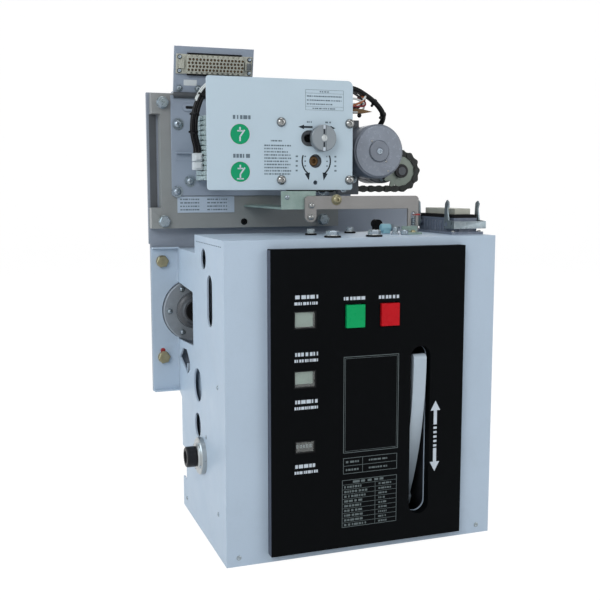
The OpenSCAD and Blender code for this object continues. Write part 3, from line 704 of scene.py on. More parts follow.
def add_housing_details():
    """Lips, liners, weld marks and screws on both side walls and their flanges."""
    flange_x = (1.0 - PLATE.x[1], HOUSING.x[0] + 1.5)
    flange_d = WALL.d[1] - 2.5
    rear_top = TOP - 25
    lips = Shape()
    welds = Shape()
    seams = Shape()
    screws = []
    for s in (1, -1):
        x = sorted((s * flange_x[0], s * flange_x[1]))
        lips.box(x, (flange_d - 9, flange_d + 2), (rear_top - 0.6, rear_top + 1.6))
        lips.box(x, (flange_d - 7, flange_d + 2), (PLATE.z[0], PLATE.z[0] + 2.2))
        wall = s * HOUSING.x[0]
        out = (s * -1, 0, 0)
        for k in range(15):
            at = 12 + 9 * k
            dash = sorted((wall, wall - s * 0.25))
            seams.box(dash, (at, at + 5), (TOP - 9, TOP - 8))
        for d, z in ((35.7, 223), (99.8, 142), (38.5, 56.6), (224, 17)):
            screws.append(((wall, d, z), out))
        for k, z in enumerate((PLATE.z[0] + 30, PLATE.z[0] + 68, PLATE.z[0] + 160)):
            welds.turned((wall - s * 0.3, flange_d - 0.5, z), (0, 0, 1),
                         [(0, 0.4), (2, 1.6), (9, 1.9), (16, 1.5), (19, 0.3)], 12)
    lips.finish("flange_lips", "housing_paint", bevel=0.5)
    liners = Shape()
    for s in (1, -1):
        x = sorted((s * (HOUSING.x[0] + 8.5), s * (HOUSING.x[0] + 10)))
        for d, z in (((155, 200), (175, 235)), ((170, 215), (125, 168)),
                     ((127, 150), (TOP - 48, TOP - 12)), ((102, 125), (TOP - 120, TOP - 48))):
            liners.box(x, d, z)
    liners.finish("inner_liners", "housing_paint")
    welds.finish("flange_welds", "housing_paint", angle=80)
    seams.finish("wall_seam_marks", "ink_grey")
    for s in (1, -1):
        dome_screws("wall_screws_" + ("left" if s == 1 else "right"),
                    [p for p, a in screws if a[0] == -s], (-s, 0, 0), 3.0, 1.4, "zinc")
    front = Shape()
    for x in (-171, 168):
        front.turned((x, 0, 11.3), FORWARD, [(-1, 3.2), (0.4, 3.2), (0.9, 2.2), (0.5, 1.2),
                                            (0.1, 0.2)], 20)
    front.finish("front_screws", "zinc")


def add_seals():
    """Bolted sealing rings round the three drive rods, in front of the mounting plate."""
    seal = Place("seal_flanges")
    reach = (seal.x[1] - seal.x[0]) / 2
    r = (seal.z[1] - seal.z[0]) / 2
    back = seal.d[1]
    pitch = reach - r
    rings, hubs, rubber = Shape(), Shape(), Shape()
    places = []
    for i in (-1, 0, 1):
        c = (i * pitch, back, seal.mid_z)
        rings.turned(c, FORWARD, [(0, r), (8.6, r), (9.6, r - 1.2), (9.6, 27.5), (8.6, 26.5),
                                  (8.6, 10)], 72)
        hubs.turned(c, FORWARD, [(5, 26), (11, 26), (12.5, 24.5), (13.5, 20.5), (18, 18.5),
                                 (19, 17.5), (19, 12), (12, 11)], 56)
        rubber.turned(c, FORWARD, [(8, 12), (20.5, 15.4), (21.5, 14.6), (21.5, 8), (16, 7)], 48)
        hubs.turned(c, FORWARD, [(12, 5.6), (25, 5.6), (26, 4.8), (26, 2.4), (24, 2.2)], 32)
        places += on_circle((c[0], back - 9.4, c[2]), 37, [TAU * k / 6 for k in range(6)])
    rings.finish("seal_rings", "seal_steel", replaces=("seal_flanges",))
    hubs.finish("seal_hubs", "dark_steel")
    rubber.finish("seal_lips", "black_rubber")
    dome_screws("seal_screws", places, FORWARD, 3.4, 2.6, "zinc", washer=4.4)


def add_shaft_end():
    """Bearing disc and black hub of the operating shaft on the left wall."""
    disc, hub = Place("shaft_disc"), Place("shaft_hub")
    centre = (disc.x[1], disc.mid_d, disc.mid_z)
    left = (-1, 0, 0)
    r = (disc.z[1] - disc.z[0]) / 2
    shape = Shape()
    shape.turned(centre, left, [(0, r), (6, r), (7.4, r - 1.4), (7.4, 19), (8.4, 18), (10, 17),
                                (10, 12)], 56)
    shape.finish("bearing_disc", "bright_metal", replaces=("shaft_disc",))
    length = disc.x[0] - hub.x[0]
    start = (disc.x[0], disc.mid_d, disc.mid_z)
    shape = Shape()
    shape.turned(start, left, [(0, 12.4), (1, 14), (length - 1.4, 14), (length, 12.6),
                               (length, 9), (length - 7, 8.6), (length - 7, 0)], 48)
    shape.rod((hub.x[1], disc.mid_d, disc.mid_z), left, hub.x[1] - disc.x[0], 10)
    for k in range(6):
        a = TAU * k / 6
        shape.rod((hub.x[0] + 6, disc.mid_d + 14 * math.cos(a), disc.mid_z + 14 * math.sin(a)),
                  (0, -math.cos(a), -math.sin(a)), 3, 0.9, sides=8)
    shape.finish("shaft_end_hub", "black_steel", replaces=("shaft_hub",))
    dome_screws("bearing_screws", [(disc.x[0] + 2.6, disc.mid_d + 21.5 * math.cos(a),
                                    disc.mid_z + 21.5 * math.sin(a))
                                   for a in (TAU * (k + 0.3) / 4 for k in range(4))],
                left, 2.2, 1.6, "zinc")


# ---------------------------------------------------------------- face panel


def add_flags():
    """Flags and counter behind their windows, with frames and clear panes; near-black backs behind
    the flags are painted shade, seen at their right and bottom edges.
    """
    frames, panes, shade_behind = Shape(), Shape(), Shape()
    for node in ("on_off_flag", "charge_flag", "counter_dial"):
        p = Place(node)
        (x0, x1), (z0, z1) = p.x, p.z
        w, proud = 1.3, 0.5
        for x, z in (((x0 - w, x1 + w), (z0 - w, z0)), ((x0 - w, x1 + w), (z1, z1 + w)),
                     ((x0 - w, x0), (z0, z1)), ((x1, x1 + w), (z0, z1))):
            frames.box(x, (FACE - proud, FACE + 2.5), z)
        panes.box((x0, x1), (FACE + 1.0, FACE + 1.8), (z0, z1))
        # near-black back behind each window: painted shade
        shade_behind.box((x0, x1), (p.d[1] - 1.2, p.d[1] - 0.2), (z0, z1))
    frames.finish("window_frames", "black_plastic", bevel=0.3)
    panes.finish("window_panes", "pane_clear")
    shade_behind.finish("window_painted_shade", "painted_shade_black")
    # the flag plates stop short of the window on the right and at the bottom, where the painted
    # shade behind them shows
    for node, foot in (("on_off_flag", 0.8), ("charge_flag", 3.2)):
        p = Place(node)
        shape = Shape().box((p.x[0] + 0.3, p.x[1] - 1.6), (p.d[0] + 0.4, p.d[1]),
                            (p.z[0] + foot, p.z[1] - 0.3))
        shape.finish(node + "_plate", "flag_pale", bevel=0.4, replaces=(node,))
    p = Place("counter_dial")
    wheels = 5
    pitch = (p.x[1] - p.x[0] - 2) / wheels
    r = (p.z[1] - p.z[0]) * 0.62
    dial = Shape().box(p.x, (p.d[0] + 3.4, p.d[1]), p.z)
    for k in range(wheels):
        x = p.x[0] + 1 + k * pitch
        dial.rod((x + 0.25, p.d[0] + r + 0.3, p.mid_z), (1, 0, 0), pitch - 0.5, r, 0.4, 40)
    dial.finish("counter_wheels", "black_plastic", replaces=("counter_dial",))
    digits = Print(p.d[0] + 0.32)
    for k in range(wheels):
        x = p.x[0] + 1 + (k + 0.5) * pitch
        digits.outline((x - 1.1, x + 1.1), (p.mid_z - 2, p.mid_z + 2), 0.55)
    digits.finish("counter_digits", "ink_white")


def add_panel_print():
    """Painted highlight as grey skins on the panel's black sides, with white rules, an arrow and
    plain dashes on its face.
    """
    rng = random.Random(11)
    # grey skins on the panel's side faces: painted highlight
    sides = Shape()
    for x in ((PANEL.x[0] - 0.3, PANEL.x[0]), (PANEL.x[1], PANEL.x[1] + 0.3)):
        sides.box(x, (FACE + 1, PANEL.d[1]), (PANEL.z[0] + 1, PANEL.z[1] - 1))
    sides.finish("panel_side_highlights", "panel_edge_highlight")
    ink = Print(FACE)
    flag = Place("on_off_flag")
    charge = Place("charge_flag")
    dial = Place("counter_dial")
    for x, z in ((flag.mid_x, flag.z[1] + 11), (charge.mid_x, charge.z[1] + 14),
                 (charge.mid_x, charge.z[0] - 26.5), (dial.mid_x, dial.z[0] - 26)):
        ink.dashes((x - 13, x + 17), z + 8, 4.6, 3.4, rng)
        ink.dashes((x - 14, x + 17), z, 3.6, 2.4, rng)
    for node in ("on_button", "off_button"):
        p = Place(node)
        ink.dashes((p.x[0] - 3, p.x[1] + 1), p.z[1] + 8, 4.2, 3.2, rng)
    x, low, high = 95, 99.5, 195
    ink.head((x, high), (0, 1), 13, 14)
    ink.head((x, low), (0, -1), 13, 14)
    ink.rect((x - 2.35, x + 2.35), (163, high - 13))
    ink.rect((x - 2.35, x + 2.35), (low + 13, 131))
    for k in range(5):
        z = 134.5 + 6 * k
        ink.rect((x - 2.35, x + 2.35), (z - 1.5, z + 1.5))
    ink.finish("panel_print", "ink_white")
    pale = Print(FACE)
    pale.outline((-35.7, 41), (136.5, 261.5), 0.7)
    pale.outline((-33.5, 38.8), (138.7, 259.3), 0.35)
    pale.outline((-35.7, 40), (109, 130), 0.6)
    pale.rect((-35.7, 40), (119.3, 119.8))
    pale.rect((-9, -8.5), (109, 130))
    for z in (124.6, 114.2):
        pale.dashes((-32, -12), z, 2.6, 3.4, rng)
        pale.dashes((0, 26), z, 2.2, 2.8, rng)
    low, high, rows = 38.0, 101.0, 10
    pale.outline((-37, 40), (low, high), 0.6)
    pitch = (high - low) / rows
    for k in range(1, rows):
        pale.rect((-37, 40), (low + k * pitch - 0.2, low + k * pitch + 0.2))
    pale.rect((9, 9.5), (low, high - pitch))
    for k in range(rows):
        z = low + (k + 0.5) * pitch
        if k == rows - 1:
            pale.dashes((-22, 26), z, 3, 5.5, rng)
            continue
        pale.dashes((-34, -34 + rng.choice((26, 32, 38))), z, 2.7, 3.2, rng)
        pale.dashes((14, 14 + rng.choice((12, 18, 22))), z, 2.3, 2.8, rng)
    pale.finish("panel_tables", "ink_pale")


# ---------------------------------------------------------------- switch mechanism

KNOB = Place("selector_knob")
CRANK = Place("crank_shaft")


def add_knob():
    """Round turned grip with an upright groove and a screw in the middle."""
    face, r = KNOB.d[0], (KNOB.z[1] - KNOB.z[0]) / 2
    c = (KNOB.mid_x, face, KNOB.mid_z)
    shape = Shape()
    shape.turned(c, BACK, [(1.4, 0), (1.4, r - 0.8), (2.0, r), (9, r), (10, r - 1), (10, 6),
                           (11, 5), (KNOB.d[1] - face, 5), (KNOB.d[1] - face, 0)], 72)
    half_gap = 2.6
    for s in (-1, 1):
        start = math.asin(half_gap / (r - 0.9))
        angles = [start + (math.pi - 2 * start) * k / 28 for k in range(29)]
        outline = [(c[0] + s * (r - 0.9) * math.sin(a), c[2] + (r - 0.9) * math.cos(a))
                   for a in angles]
        shape.prism(outline, (face + 0.35, face + 1.6))
    shape.finish("selector_grip", "knob_metal", "selector_knob", bevel=0.3,
                 replaces=("selector_knob",))
    screw = Shape()
    screw.turned((c[0], face + 1.5, c[2]), FORWARD, [(0, 4.6), (0.9, 4.4), (1.4, 3.6), (1.4, 2),
                                                     (0.6, 1.8), (0.6, 0)], 32)
    screw.finish("selector_screw", "bright_metal", "selector_knob")
    marks = Shape()
    for s in (-1, 1):
        z = sorted((c[2] + s * (r - 5.5), c[2] + s * (r - 0.8)))
        marks.box((c[0] - 1.6, c[0] + 1.6), (face + 0.5, face + 1.5), z)
    marks.finish("selector_marks", "ink_white", "selector_knob", bevel=0.2)
    dark = Shape()
    for s in (-1, 1):
        z = sorted((c[2] + s * 5.4, c[2] + s * (r - 6)))
        dark.box((c[0] - 1.1, c[0] + 1.1), (face + 1.2, face + 1.5), z)
    dark.finish("selector_groove_marks", "ink_black", "selector_knob")


def add_discs():
    """Green position discs with a plain open-contact symbol in white."""
    rim = Print(COVER.d[0])
    symbol = Print(COVER.d[0] + 0.3)
    for node in ("isolator_disc", "earth_disc"):
        p = Place(node)
        r = (p.x[1] - p.x[0]) / 2
        x, z = p.mid_x, p.mid_z
        shape = Shape().rod((x, COVER.d[0] + 0.3, z), BACK, COVER.d[1] - COVER.d[0] - 0.3, r,
                            0.3, 64)
        shape.finish(node + "_face", "disc_green", replaces=(node,))
        rim.band((x, z), r + 0.5, 1.0, 0, 360, 64)
        symbol.line((x, z - 9), (x, z - 3.2), 2.0)
        symbol.line((x, z - 3.2), (x + 6.2, z + 5.4), 2.0)
        symbol.line((x, z + 4.2), (x, z + 9), 2.0)
        symbol.line((x - 3.6, z + 4.2), (x + 3.6, z + 4.2), 1.8)
        if node == "earth_disc":
            symbol.line((x - 4.6, z - 9), (x + 4.6, z - 9), 1.6)
    rim.finish("disc_rims", "ink_white")
    symbol.finish("disc_symbols", "ink_white")


def add_cover_print():
    """Arrows, table rules and plain dashes on the pale cover plate."""
    rng = random.Random(5)
    ink = Print(COVER.d[0])
    z = 552.4
    ink.rect((-53, -40), (z - 1.3, z + 1.3))
    ink.head((-60, z), (-1, 0), 8, 6)
    ink.rect((-17, -13), (z - 2.1, z + 0.5))
    ink.head((-7.5, z - 0.8), (1, 0), 7, 6)
    c, r = (CRANK.mid_x + 1.1, CRANK.mid_z), 20
    ink.band(c, r, 1.9, 158, 236)
    ink.band(c, r, 1.9, 22, -56)
    for s in (-1, 1):
        a = math.radians(-90 + s * 35)
        tip = (c[0] + s * 10.5, c[1] - 25.5)
        foot = (c[0] + (r + 0.2) * math.cos(a) + s * 1.2, c[1] + (r + 0.2) * math.sin(a) + 1.5)
        ink.head(tip, (tip[0] - foot[0], tip[1] - foot[1]), 10, 7.5)
    ink.finish("cover_arrows", "ink_black")
    grey = Print(COVER.d[0])
    grey.outline((-50, 4), (574.5, 601), 0.35)
    for z in (596.3, 579):
        grey.rect((-50, 4), (z, z + 0.3))
    for z, x in ((598.6, (-30, -16)), (592.6, (-48, 2)), (587.4, (-48, 1)), (582.4, (-48, -12)),
                 (576.8, (-40, -8))):
        grey.dashes(x, z, 1.6, 1.7, rng)
    for k in range(10):
        grey.dashes((-107, -107 + rng.choice((37, 36, 33, 26))), 527.7 - 4.1 * k, 1.9, 1.8, rng)
    grey.dashes((-98, -82), 533.8, 1.8, 1.9, rng)
    for x, z in ((-149, 563), (-149, 513.8)):
        grey.dashes((x, x + 25), z, 5.0, 3.2, rng)
    for x, z in ((-48, 559), (-22, 559)):
        grey.dashes((x, x + 8), z, 2.2, 2.4, rng)
    for s in (-1, 1):
        for k in range(4):
            z = c[1] + 6 - 6.2 * k
            grey.dashes((c[0] + s * 27.5 - 1.6, c[0] + s * 27.5 + 1.6), z, 2.2, 2.8, rng)
            grey.dashes((c[0] + s * 15.5 - 1.3, c[0] + s * 15.5 + 1.3), z, 1.8, 2.2, rng)
    grey.finish("cover_table", "ink_grey")


def add_cover_posts():
    """Hexagon stand-offs behind the cover and bright button-head screws in front."""
    posts = Place("cover_posts")
    r = 6.5
    xs = (posts.x[0] + r, posts.x[1] - r)
    zs = (posts.z[0] + r, posts.z[1] - r)
    shape = Shape()
    places = []
    for x in xs:
        for z in zs:
            shape.turned((x, COVER.d[1], z), BACK, [(0, 4.6), (0.8, 5.4),
                         (BASE.d[0] - COVER.d[1], 5.4)], 6)
            places.append((x, COVER.d[0], z))
    shape.finish("cover_standoffs", "zinc", replaces=("cover_posts",))
    dome_screws("cover_screws", places, FORWARD, r - 0.1, 4.6, "chrome")


def add_crank_shaft():
    shape = Shape()
    start = (CRANK.mid_x, CRANK.d[0], CRANK.mid_z)
    shape.turned(start, BACK, [(4, 0), (4, 2.4), (0, 3.2), (0, 5.6), (1, 6.5),
                                    (CRANK.d[1] - CRANK.d[0], 6.5)], 40)
    shape.rod((CRANK.mid_x, CRANK.d[0] + 5, CRANK.mid_z - 6), UP, 12, 1.6, sides=16)
    shape.finish("crank_shaft_end", "brass", replaces=("crank_shaft",))


def add_motor():
    """Geared motor: turned can, glossy film disc, boss with a hexagon screw."""
    motor = Place("motor")
    r = (motor.z[1] - motor.z[0]) / 2
    c = (motor.x[0] + r, motor.d[0], motor.z[0] + r)
    bracket = Place("motor_bracket")
    depth = bracket.d[0] - motor.d[0]
    can = Shape()
    can.turned(c, BACK, [(4.2, 0), (4.2, r - 3), (5.2, r - 0.8), (6.5, r), (30, r), (30.6, r - 0.7),
                         (31.4, r - 0.7), (32, r), (depth, r)], 96)
    can.rod((c[0] + 10, motor.d[0] + depth - 1, c[2] - 9), BACK, motor.d[1] - bracket.d[0] + 1, 5)
    can.finish("motor_can", "motor_grey", replaces=("motor",))
    film = Shape()
    film.turned(c, BACK, [(3.7, 0), (3.7, 14.8), (3.1, 15.4), (3.1, r - 3.4), (3.8, r - 2.6),
                          (4.8, r - 2.6)], 96)
    film.finish("motor_film", "motor_film")
    boss = Shape()
    boss.turned(c, BACK, [(1.0, 0), (1.0, 5.2), (0.6, 5.6), (0.6, 13.4), (1.5, 14.4), (4, 14.4)], 64)
    boss.finish("motor_boss", "motor_grey")
    centre = Shape()
    centre.turned((c[0], motor.d[0] + 1.2, c[2]), FORWARD, [(0, 3.8), (1.1, 3.8), (1.1, 2.2),
                                                           (0.3, 2.0), (0.3, 0)], 32)
    hexagon(centre, (c[0], motor.d[0] + 1.3, c[2]), FORWARD, 0.9, 2.6)
    centre.finish("motor_centre_screw", "zinc")
    places = on_circle((c[0], motor.d[0] + 3.1, c[2]), 17.6, [math.radians(k) for k in (128, -52)])
    places += on_circle((c[0], motor.d[0] + 3.4, c[2]), 31, [math.radians(-62)])
    dome_screws("motor_face_screws", places, FORWARD, 1.7, 0.9, "chrome")
    screws = [(bracket.x[0] + 9, bracket.d[0], bracket.z[0] + 9),
              (bracket.x[0] + 24, bracket.d[0], bracket.z[0] + 22)]
    dome_screws("bracket_screws", screws, FORWARD, 4.2, 2.4, "zinc", washer=6.0)


def add_gearbox():
    gear = Place("motor_gearbox")
    drive = Place("drive_sprocket")
    r = (gear.x[1] - gear.x[0]) / 2
    c = (gear.mid_x, gear.z[0] + r)
    shape = Shape()
    face = 184.0
    shape.turned((c[0], face, c[1]), BACK, [(0, r - 1.5), (1.5, r), (14, r), (14.8, r - 1),
                                            (17, r - 1), (18, r), (gear.d[1] - face, r)], 72)
    shape.rod((drive.mid_x, gear.d[0], drive.mid_z), BACK, face - gear.d[0] + 1, 6)
    shape.box((c[0] - 6.5, c[0] + 6.5), (193.5, 206.5), (c[1], gear.z[1]))
    shape.finish("gearbox_case", "dark_steel", replaces=("motor_gearbox",))
    places = on_circle((c[0], face, c[1]), 27, [TAU * (k + 0.5) / 6 for k in range(6)])
    dome_screws("gearbox_screws", places, FORWARD, 3, 1.8, "zinc")


CHAIN = Place("drive_chain")
PITCH = 12.7


def sprocket(node, name, pitch_r, bore, pin_r):
    """Toothed disc with a hub; the teeth stand between the rollers."""
    p = Place(node)
    teeth = round(TAU * pitch_r / PITCH)
    centre = (p.mid_x, p.mid_z)
    outline = []
    for k in range(teeth):
        for share, r in ((0.0, -4.1), (0.12, -3.7), (0.3, 0.4), (0.42, 3.0), (0.58, 3.0),
                         (0.7, 0.4), (0.88, -3.7)):
            a = TAU * (k + share) / teeth
            outline.append((centre[0] + (pitch_r + r) * math.cos(a),
                            centre[1] + (pitch_r + r) * math.sin(a)))
    inner = [(centre[0] + bore * math.cos(TAU * k / len(outline)),
              centre[1] + bore * math.sin(TAU * k / len(outline))) for k in range(len(outline))]
    mid = sum(CHAIN.d) / 2
    shape = Shape()
    d = (mid - 1.3, mid + 1.3)
    shape.loft([[(x, d[0], z) for x, z in outline], [(x, d[1], z) for x, z in outline],
                [(x, d[1], z) for x, z in inner], [(x, d[0], z) for x, z in inner]], True)
    shape.finish(name + "_teeth", "sprocket_steel", bevel=0.25, replaces=(node,))
    hub = Shape()
    hub.ring((centre[0], p.d[0], centre[1]), BACK, p.d[1] - p.d[0], 10, bore, 40)
    hub.ring((centre[0], p.d[0] - 0.4, centre[1]), BACK, 1.4, bore, pin_r, 32)
    hub.finish(name + "_hub", "black_steel", bevel=0.4)


def chain_path(big, big_r, small, small_r):
    """Points and directions a pitch apart along the closed pitch line."""
    big, small = Vector(big), Vector(small)
    run = small - big
    lean = math.acos((big_r - small_r) / run.length)
    base = math.atan2(run.y, run.x)
    straight = math.sqrt(run.length ** 2 - (big_r - small_r) ** 2)
    small_arc = 2 * lean * small_r
    big_arc = (TAU - 2 * lean) * big_r
    total = 2 * straight + small_arc + big_arc
    count = 2 * round(total / PITCH / 2)

    def point(s):
        s %= total
        if s < straight:
            a = base + lean
            start = big + big_r * Vector((math.cos(a), math.sin(a)))
            return start + Vector((math.sin(a), -math.cos(a))) * s
        s -= straight
        if s < small_arc:
            a = base + lean - s / small_r
            return small + small_r * Vector((math.cos(a), math.sin(a)))
        s -= small_arc
        if s < straight:
            a = base - lean
            start = small + small_r * Vector((math.cos(a), math.sin(a)))
            return start + Vector((math.sin(a), -math.cos(a))) * s
        a = base - lean - (s - straight) / big_r
        return big + big_r * Vector((math.cos(a), math.sin(a)))

    return [point(total * k / count) for k in range(count)]


def add_chain():
    """Roller chain: pairs of waisted plates, outer and inner in turn, over rollers."""
    drive, driven = Place("drive_sprocket"), Place("driven_sprocket")
    drive_r, driven_r = 26.0, 37.0
    sprocket("drive_sprocket", "drive", drive_r, 6.4, 6.0)
    sprocket("driven_sprocket", "driven", driven_r, 6.9, 6.5)
    points = chain_path((driven.mid_x, driven.mid_z), driven_r, (drive.mid_x, drive.mid_z), drive_r)
    plates, rollers = Shape(), Shape()
    end_r, waist = 5.0, 3.3
    for i, a in enumerate(points):
        b = points[(i + 1) % len(points)]
        along = (b - a).normalized()
        across = Vector((-along.y, along.x))
        outline = []
        for centre, sign in ((a, -1), (b, 1)):
            for k in range(-3, 4):
                t = math.radians(28 * k) * sign
                outline.append(centre + sign * along * (end_r * math.cos(t))
                               + across * (end_r * math.sin(t)))
            mid = (a + b) / 2
            outline.append(mid + across * (waist * sign))
        outline = [tuple(p) for p in outline]
        inner = i % 2
        gap = 1.15 if inner else 0.0
        for d in ((CHAIN.d[0] + gap, CHAIN.d[0] + gap + 1.0),
                  (CHAIN.d[1] - gap - 1.0, CHAIN.d[1] - gap)):
            plates.prism(outline, d)
        rollers.rod((a.x, CHAIN.d[0] + 0.05, a.y), BACK, CHAIN.d[1] - CHAIN.d[0] - 0.1, 1.9,
                    0.3, 14)
        rollers.rod((a.x, CHAIN.d[0] + 2.2, a.y), BACK, CHAIN.d[1] - CHAIN.d[0] - 4.4, 3.9,
                    0.2, 18)
    plates.finish("chain_plates", "chain_black", bevel=0.2, replaces=("drive_chain",))
    rollers.finish("chain_rollers", "chain_black")


# ---------------------------------------------------------------- multipole inserts

LEAN = math.radians(12)


def pins(shape, xs, zs, d, r, length):
    for x in xs:
        for z in zs:
            shape.rod((x, d, z), FORWARD, length, r, 0.25, 10)


def add_plug_insert():
    """Ivory insert with scalloped sides and rows of pins on the leaning bracket."""
    foot = Matrix.Translation((0, TRAY.d[0], TRAY.z[1])) @ Matrix.Rotation(LEAN, 4, "X")
    p = Place("plug_insert")
    x0, x1 = p.x
    mid_z, half, face = 42, 13.5, -13.0
    z0, z1 = mid_z - half, mid_z + half
    shape = Shape()
    shape.box((x0, x1), (-6.5, -3), (z0, z1))
    body = (x0 + 14, x1 - 14)
    shape.box(body, (face + 1.2, -5), (z0 + 3.5, z1 - 3.5))
    lobes = 11
    step = (body[1] - body[0]) / lobes
    for k in range(lobes):
        for z in (z0 + 3.6, z1 - 3.6):
            shape.rod((body[0] + (k + 0.5) * step, face + 2.0, z), BACK, 7.5, step * 0.42,
                      0.6, 16)
    for x in (x0 + 4, x1 - 11):
        shape.box((x, x + 7), (-9.5, -3.5), (mid_z - 6, mid_z + 6))
    shape.finish("upper_insert", "insert_ivory", bevel=0.5, matrix=foot,
                 replaces=("plug_insert",))
    metal = Shape()
    columns = [body[0] + 3 + (body[1] - body[0] - 6) * k / 15 for k in range(16)]
    for row in range(4):
        z = mid_z - 7.2 + 4.8 * row
        pins(metal, [x + (1.1 if row % 2 else 0) for x in columns], (z,), face + 1.3, 0.95, 1.2)
    metal.finish("upper_insert_pins", "brass", matrix=foot)
    # dark discs round the pins stand for their holes: painted shade
    hole_shade = Shape()
    for row in range(4):
        z = mid_z - 7.2 + 4.8 * row
        for x in columns:
            hole_shade.rod((x + (1.1 if row % 2 else 0), face + 1.25, z), FORWARD, 0.1, 1.75, sides=12)
    hole_shade.finish("upper_insert_hole_shade", "black_plastic", matrix=foot)
    dark = Shape()
    for x in (x0 + 4.5, x1 - 4.5):
        for z in (z0 + 4, z1 - 4):
            dark.ring((x, -7.2, z), BACK, 1, 3.1, 1.2, 20)
    for z in (z0 - 0.4, z1 + 0.4):
        dark.box((x0 + 16, x1 - 16), (-7.5, -3.1), sorted((z, z + (1.6 if z > mid_z else -1.6))))
    dark.finish("upper_insert_shadow_gasket", "black_rubber", matrix=foot)
    latch = Shape()
    latch.box((x1 - 9, x1 - 2), (-10.2, -9.5), (mid_z - 5, mid_z + 5))
    latch.box((x1 - 9, x1 - 7.6), (-12, -9.5), (mid_z - 5, mid_z + 3))
    latch.finish("upper_insert_clip", "chrome", bevel=0.2, matrix=foot)
    screws = Shape()
    for x, z in ((p.x[0] + 5.5, 8), (p.x[0] + 33, 8), (p.x[1] - 8, 8)):
        screws.turned((x, -3, z), FORWARD, [(0, 5), (0.8, 5), (0.9, 3.6), (2.4, 3.2), (3, 1.6),
                                            (2, 1.2), (2, 0)], 24)
    for x in (x0 + 4.5, x1 - 4.5):
        for z in (z0 + 4, z1 - 4):
            screws.turned((x, -6.5, z), FORWARD, [(0, 2.6), (1.4, 2.4), (1.8, 1.2), (1.2, 0)], 16)
    screws.finish("upper_bracket_screws", "zinc", matrix=foot)
    sticker = Shape().box((p.x[0] + 12, p.x[0] + 31), (-3.15, -3), (12, 20))
    sticker.finish("bracket_sticker", "plug_white", matrix=foot)
    # dark tube along the bracket's lower fold: painted shade under the fold
    fold_shade = Shape()
    bracket = Place("plug_bracket")
    fold_shade.tube([(x, TRAY.d[0] - 5, TRAY.z[1] - 2.5) for x in bracket.x], 4.2, 16)
    fold_shade.finish("upper_bracket_fold_shade", "dark_steel")


def add_housing_plug():
    """Contact rows, ribs and screws of the connector on the housing."""
    base, insert = Place("connector_base"), Place("connector_insert")
    top = insert.z[1]
    rows = Shape()
    count = 12
    span = (insert.d[0] + 5, insert.d[1] - 5)
    for k in range(count):
        d = span[0] + (span[1] - span[0]) * k / (count - 1)
        for x in (-6.2, 6.2):
            rows.rod((insert.mid_x + x, d, top - 0.5), UP, 0.45, 2.2, sides=14)
    rows.finish("connector_contacts", "black_plastic")
    ribs = Shape()
    body_x = (insert.mid_x - 17.5, insert.mid_x + 17.5)
    for k in range(9):
        d = base.d[0] + 26 + (base.d[1] - base.d[0] - 52) * k / 8
        for x, out in ((body_x[0], -1), (body_x[1], 1)):
            ribs.box(sorted((x, x + out * 1.2)), (d - 1, d + 1), (TOP + 3.5, TOP + 18))
    for d in (base.d[0] + 6.5, base.d[1] - 6.5):
        ribs.box((insert.mid_x - 11, insert.mid_x + 11), (d - 1.4, d + 1.4), (TOP + 3, TOP + 15))
    ribs.finish("connector_ribs", "diecast_grey", bevel=0.4)
    screws = [(insert.mid_x + s * 20, d, TOP + 3.5) for s in (-1, 1)
              for d in (base.d[0] + 4.5, base.d[1] - 4.5)]
    dome_screws("connector_screws", screws, UP, 2.9, 2.0, "chrome")
    pivots = Shape()
    for node in ("near_lever", "far_lever"):
        lever = Place(node)
        d = base.d[0] + 16 if node == "near_lever" else base.d[1] - 16
        for x, out in ((lever.x[0], -1), (lever.x[1], 1)):
            pivots.turned((x - out * 0.2, d, TOP + 14), (-out, 0, 0),
                          [(0, 2.6), (2.2, 2.6), (3, 3.2)], 20)
    pivots.finish("lever_pivots", "zinc")


# ---------------------------------------------------------------- interlock


def add_interlock_details():
    bar = Place("interlock_bar")
    face = bar.d[0]
    dome_screws("bar_yellow_screw", [(-13.4, face, 457)], FORWARD, 6.2, 4.0, "yellow_zinc",
                washer=7.2)
    dome_screws("bar_screws", [(-48.5, face, 449.7), (-49.5, face, 434.5)], FORWARD, 3.9, 2.4,
                "chrome", washer=4.8)
    leg_x = bar.x[1] - 8
    z0, z1 = TOP + 10, TOP + 28
    coil = [(leg_x + 2.3 * math.cos(TAU * k / 10), face - 1.2 + 2.3 * math.sin(TAU * k / 10),
             z0 + (z1 - z0) * k / 70) for k in range(71)]
    Shape().tube(coil, 0.55, 6).finish("bar_spring", "zinc", angle=70)
    tie = Shape()
    tie.box((leg_x - 2, leg_x + 10), (face - 1.0, face), (TOP + 25.4, TOP + 27.4))
    tie.rod((leg_x + 1, face - 0.6, TOP + 26.4), FORWARD, 1.4, 1.8, 0.4, 20)
    tie.finish("bar_tie", "paint_red")
    block = Shape().rod((leg_x - 39, face + 22, TOP + 8), (1, 0, 0), 15, 5.5, 1.2, 24)
    block.box((leg_x - 36, leg_x - 26), (face + 17, face + 27), (TOP, TOP + 6))
    block.finish("bar_guide_block", "clamp_blue", bevel=0.6)
    nut = Shape()
    hexagon(nut, (leg_x - 24, face + 22, TOP + 8), (1, 0, 0), 5, 9)
    nut.rod((leg_x - 19, face + 22, TOP + 8), (1, 0, 0), 9, 2, 0.3, 16)
    nut.finish("bar_guide_nut", "zinc", bevel=0.3)
    post = Shape()
    post.turned((69, 62, TOP), UP, [(0, 5.5), (1.5, 5.5), (2, 3.6), (9, 3.6), (10, 2.6)], 24)
    post.rod((80, 56, TOP), UP, 6.5, 5.5, 1.2, 28)
    post.finish("bar_posts", "zinc")
    dome_screws("latch_screw", [(94, 58, TOP + 3)], UP, 3.0, 2.2, "yellow_zinc", washer=4.4)
    link = Place("link_bracket")
    dome_screws("link_screws", [(link.x[0] + 8, link.d[0], link.z[1] - 8)], FORWARD, 3.2, 2.0,
                "zinc")


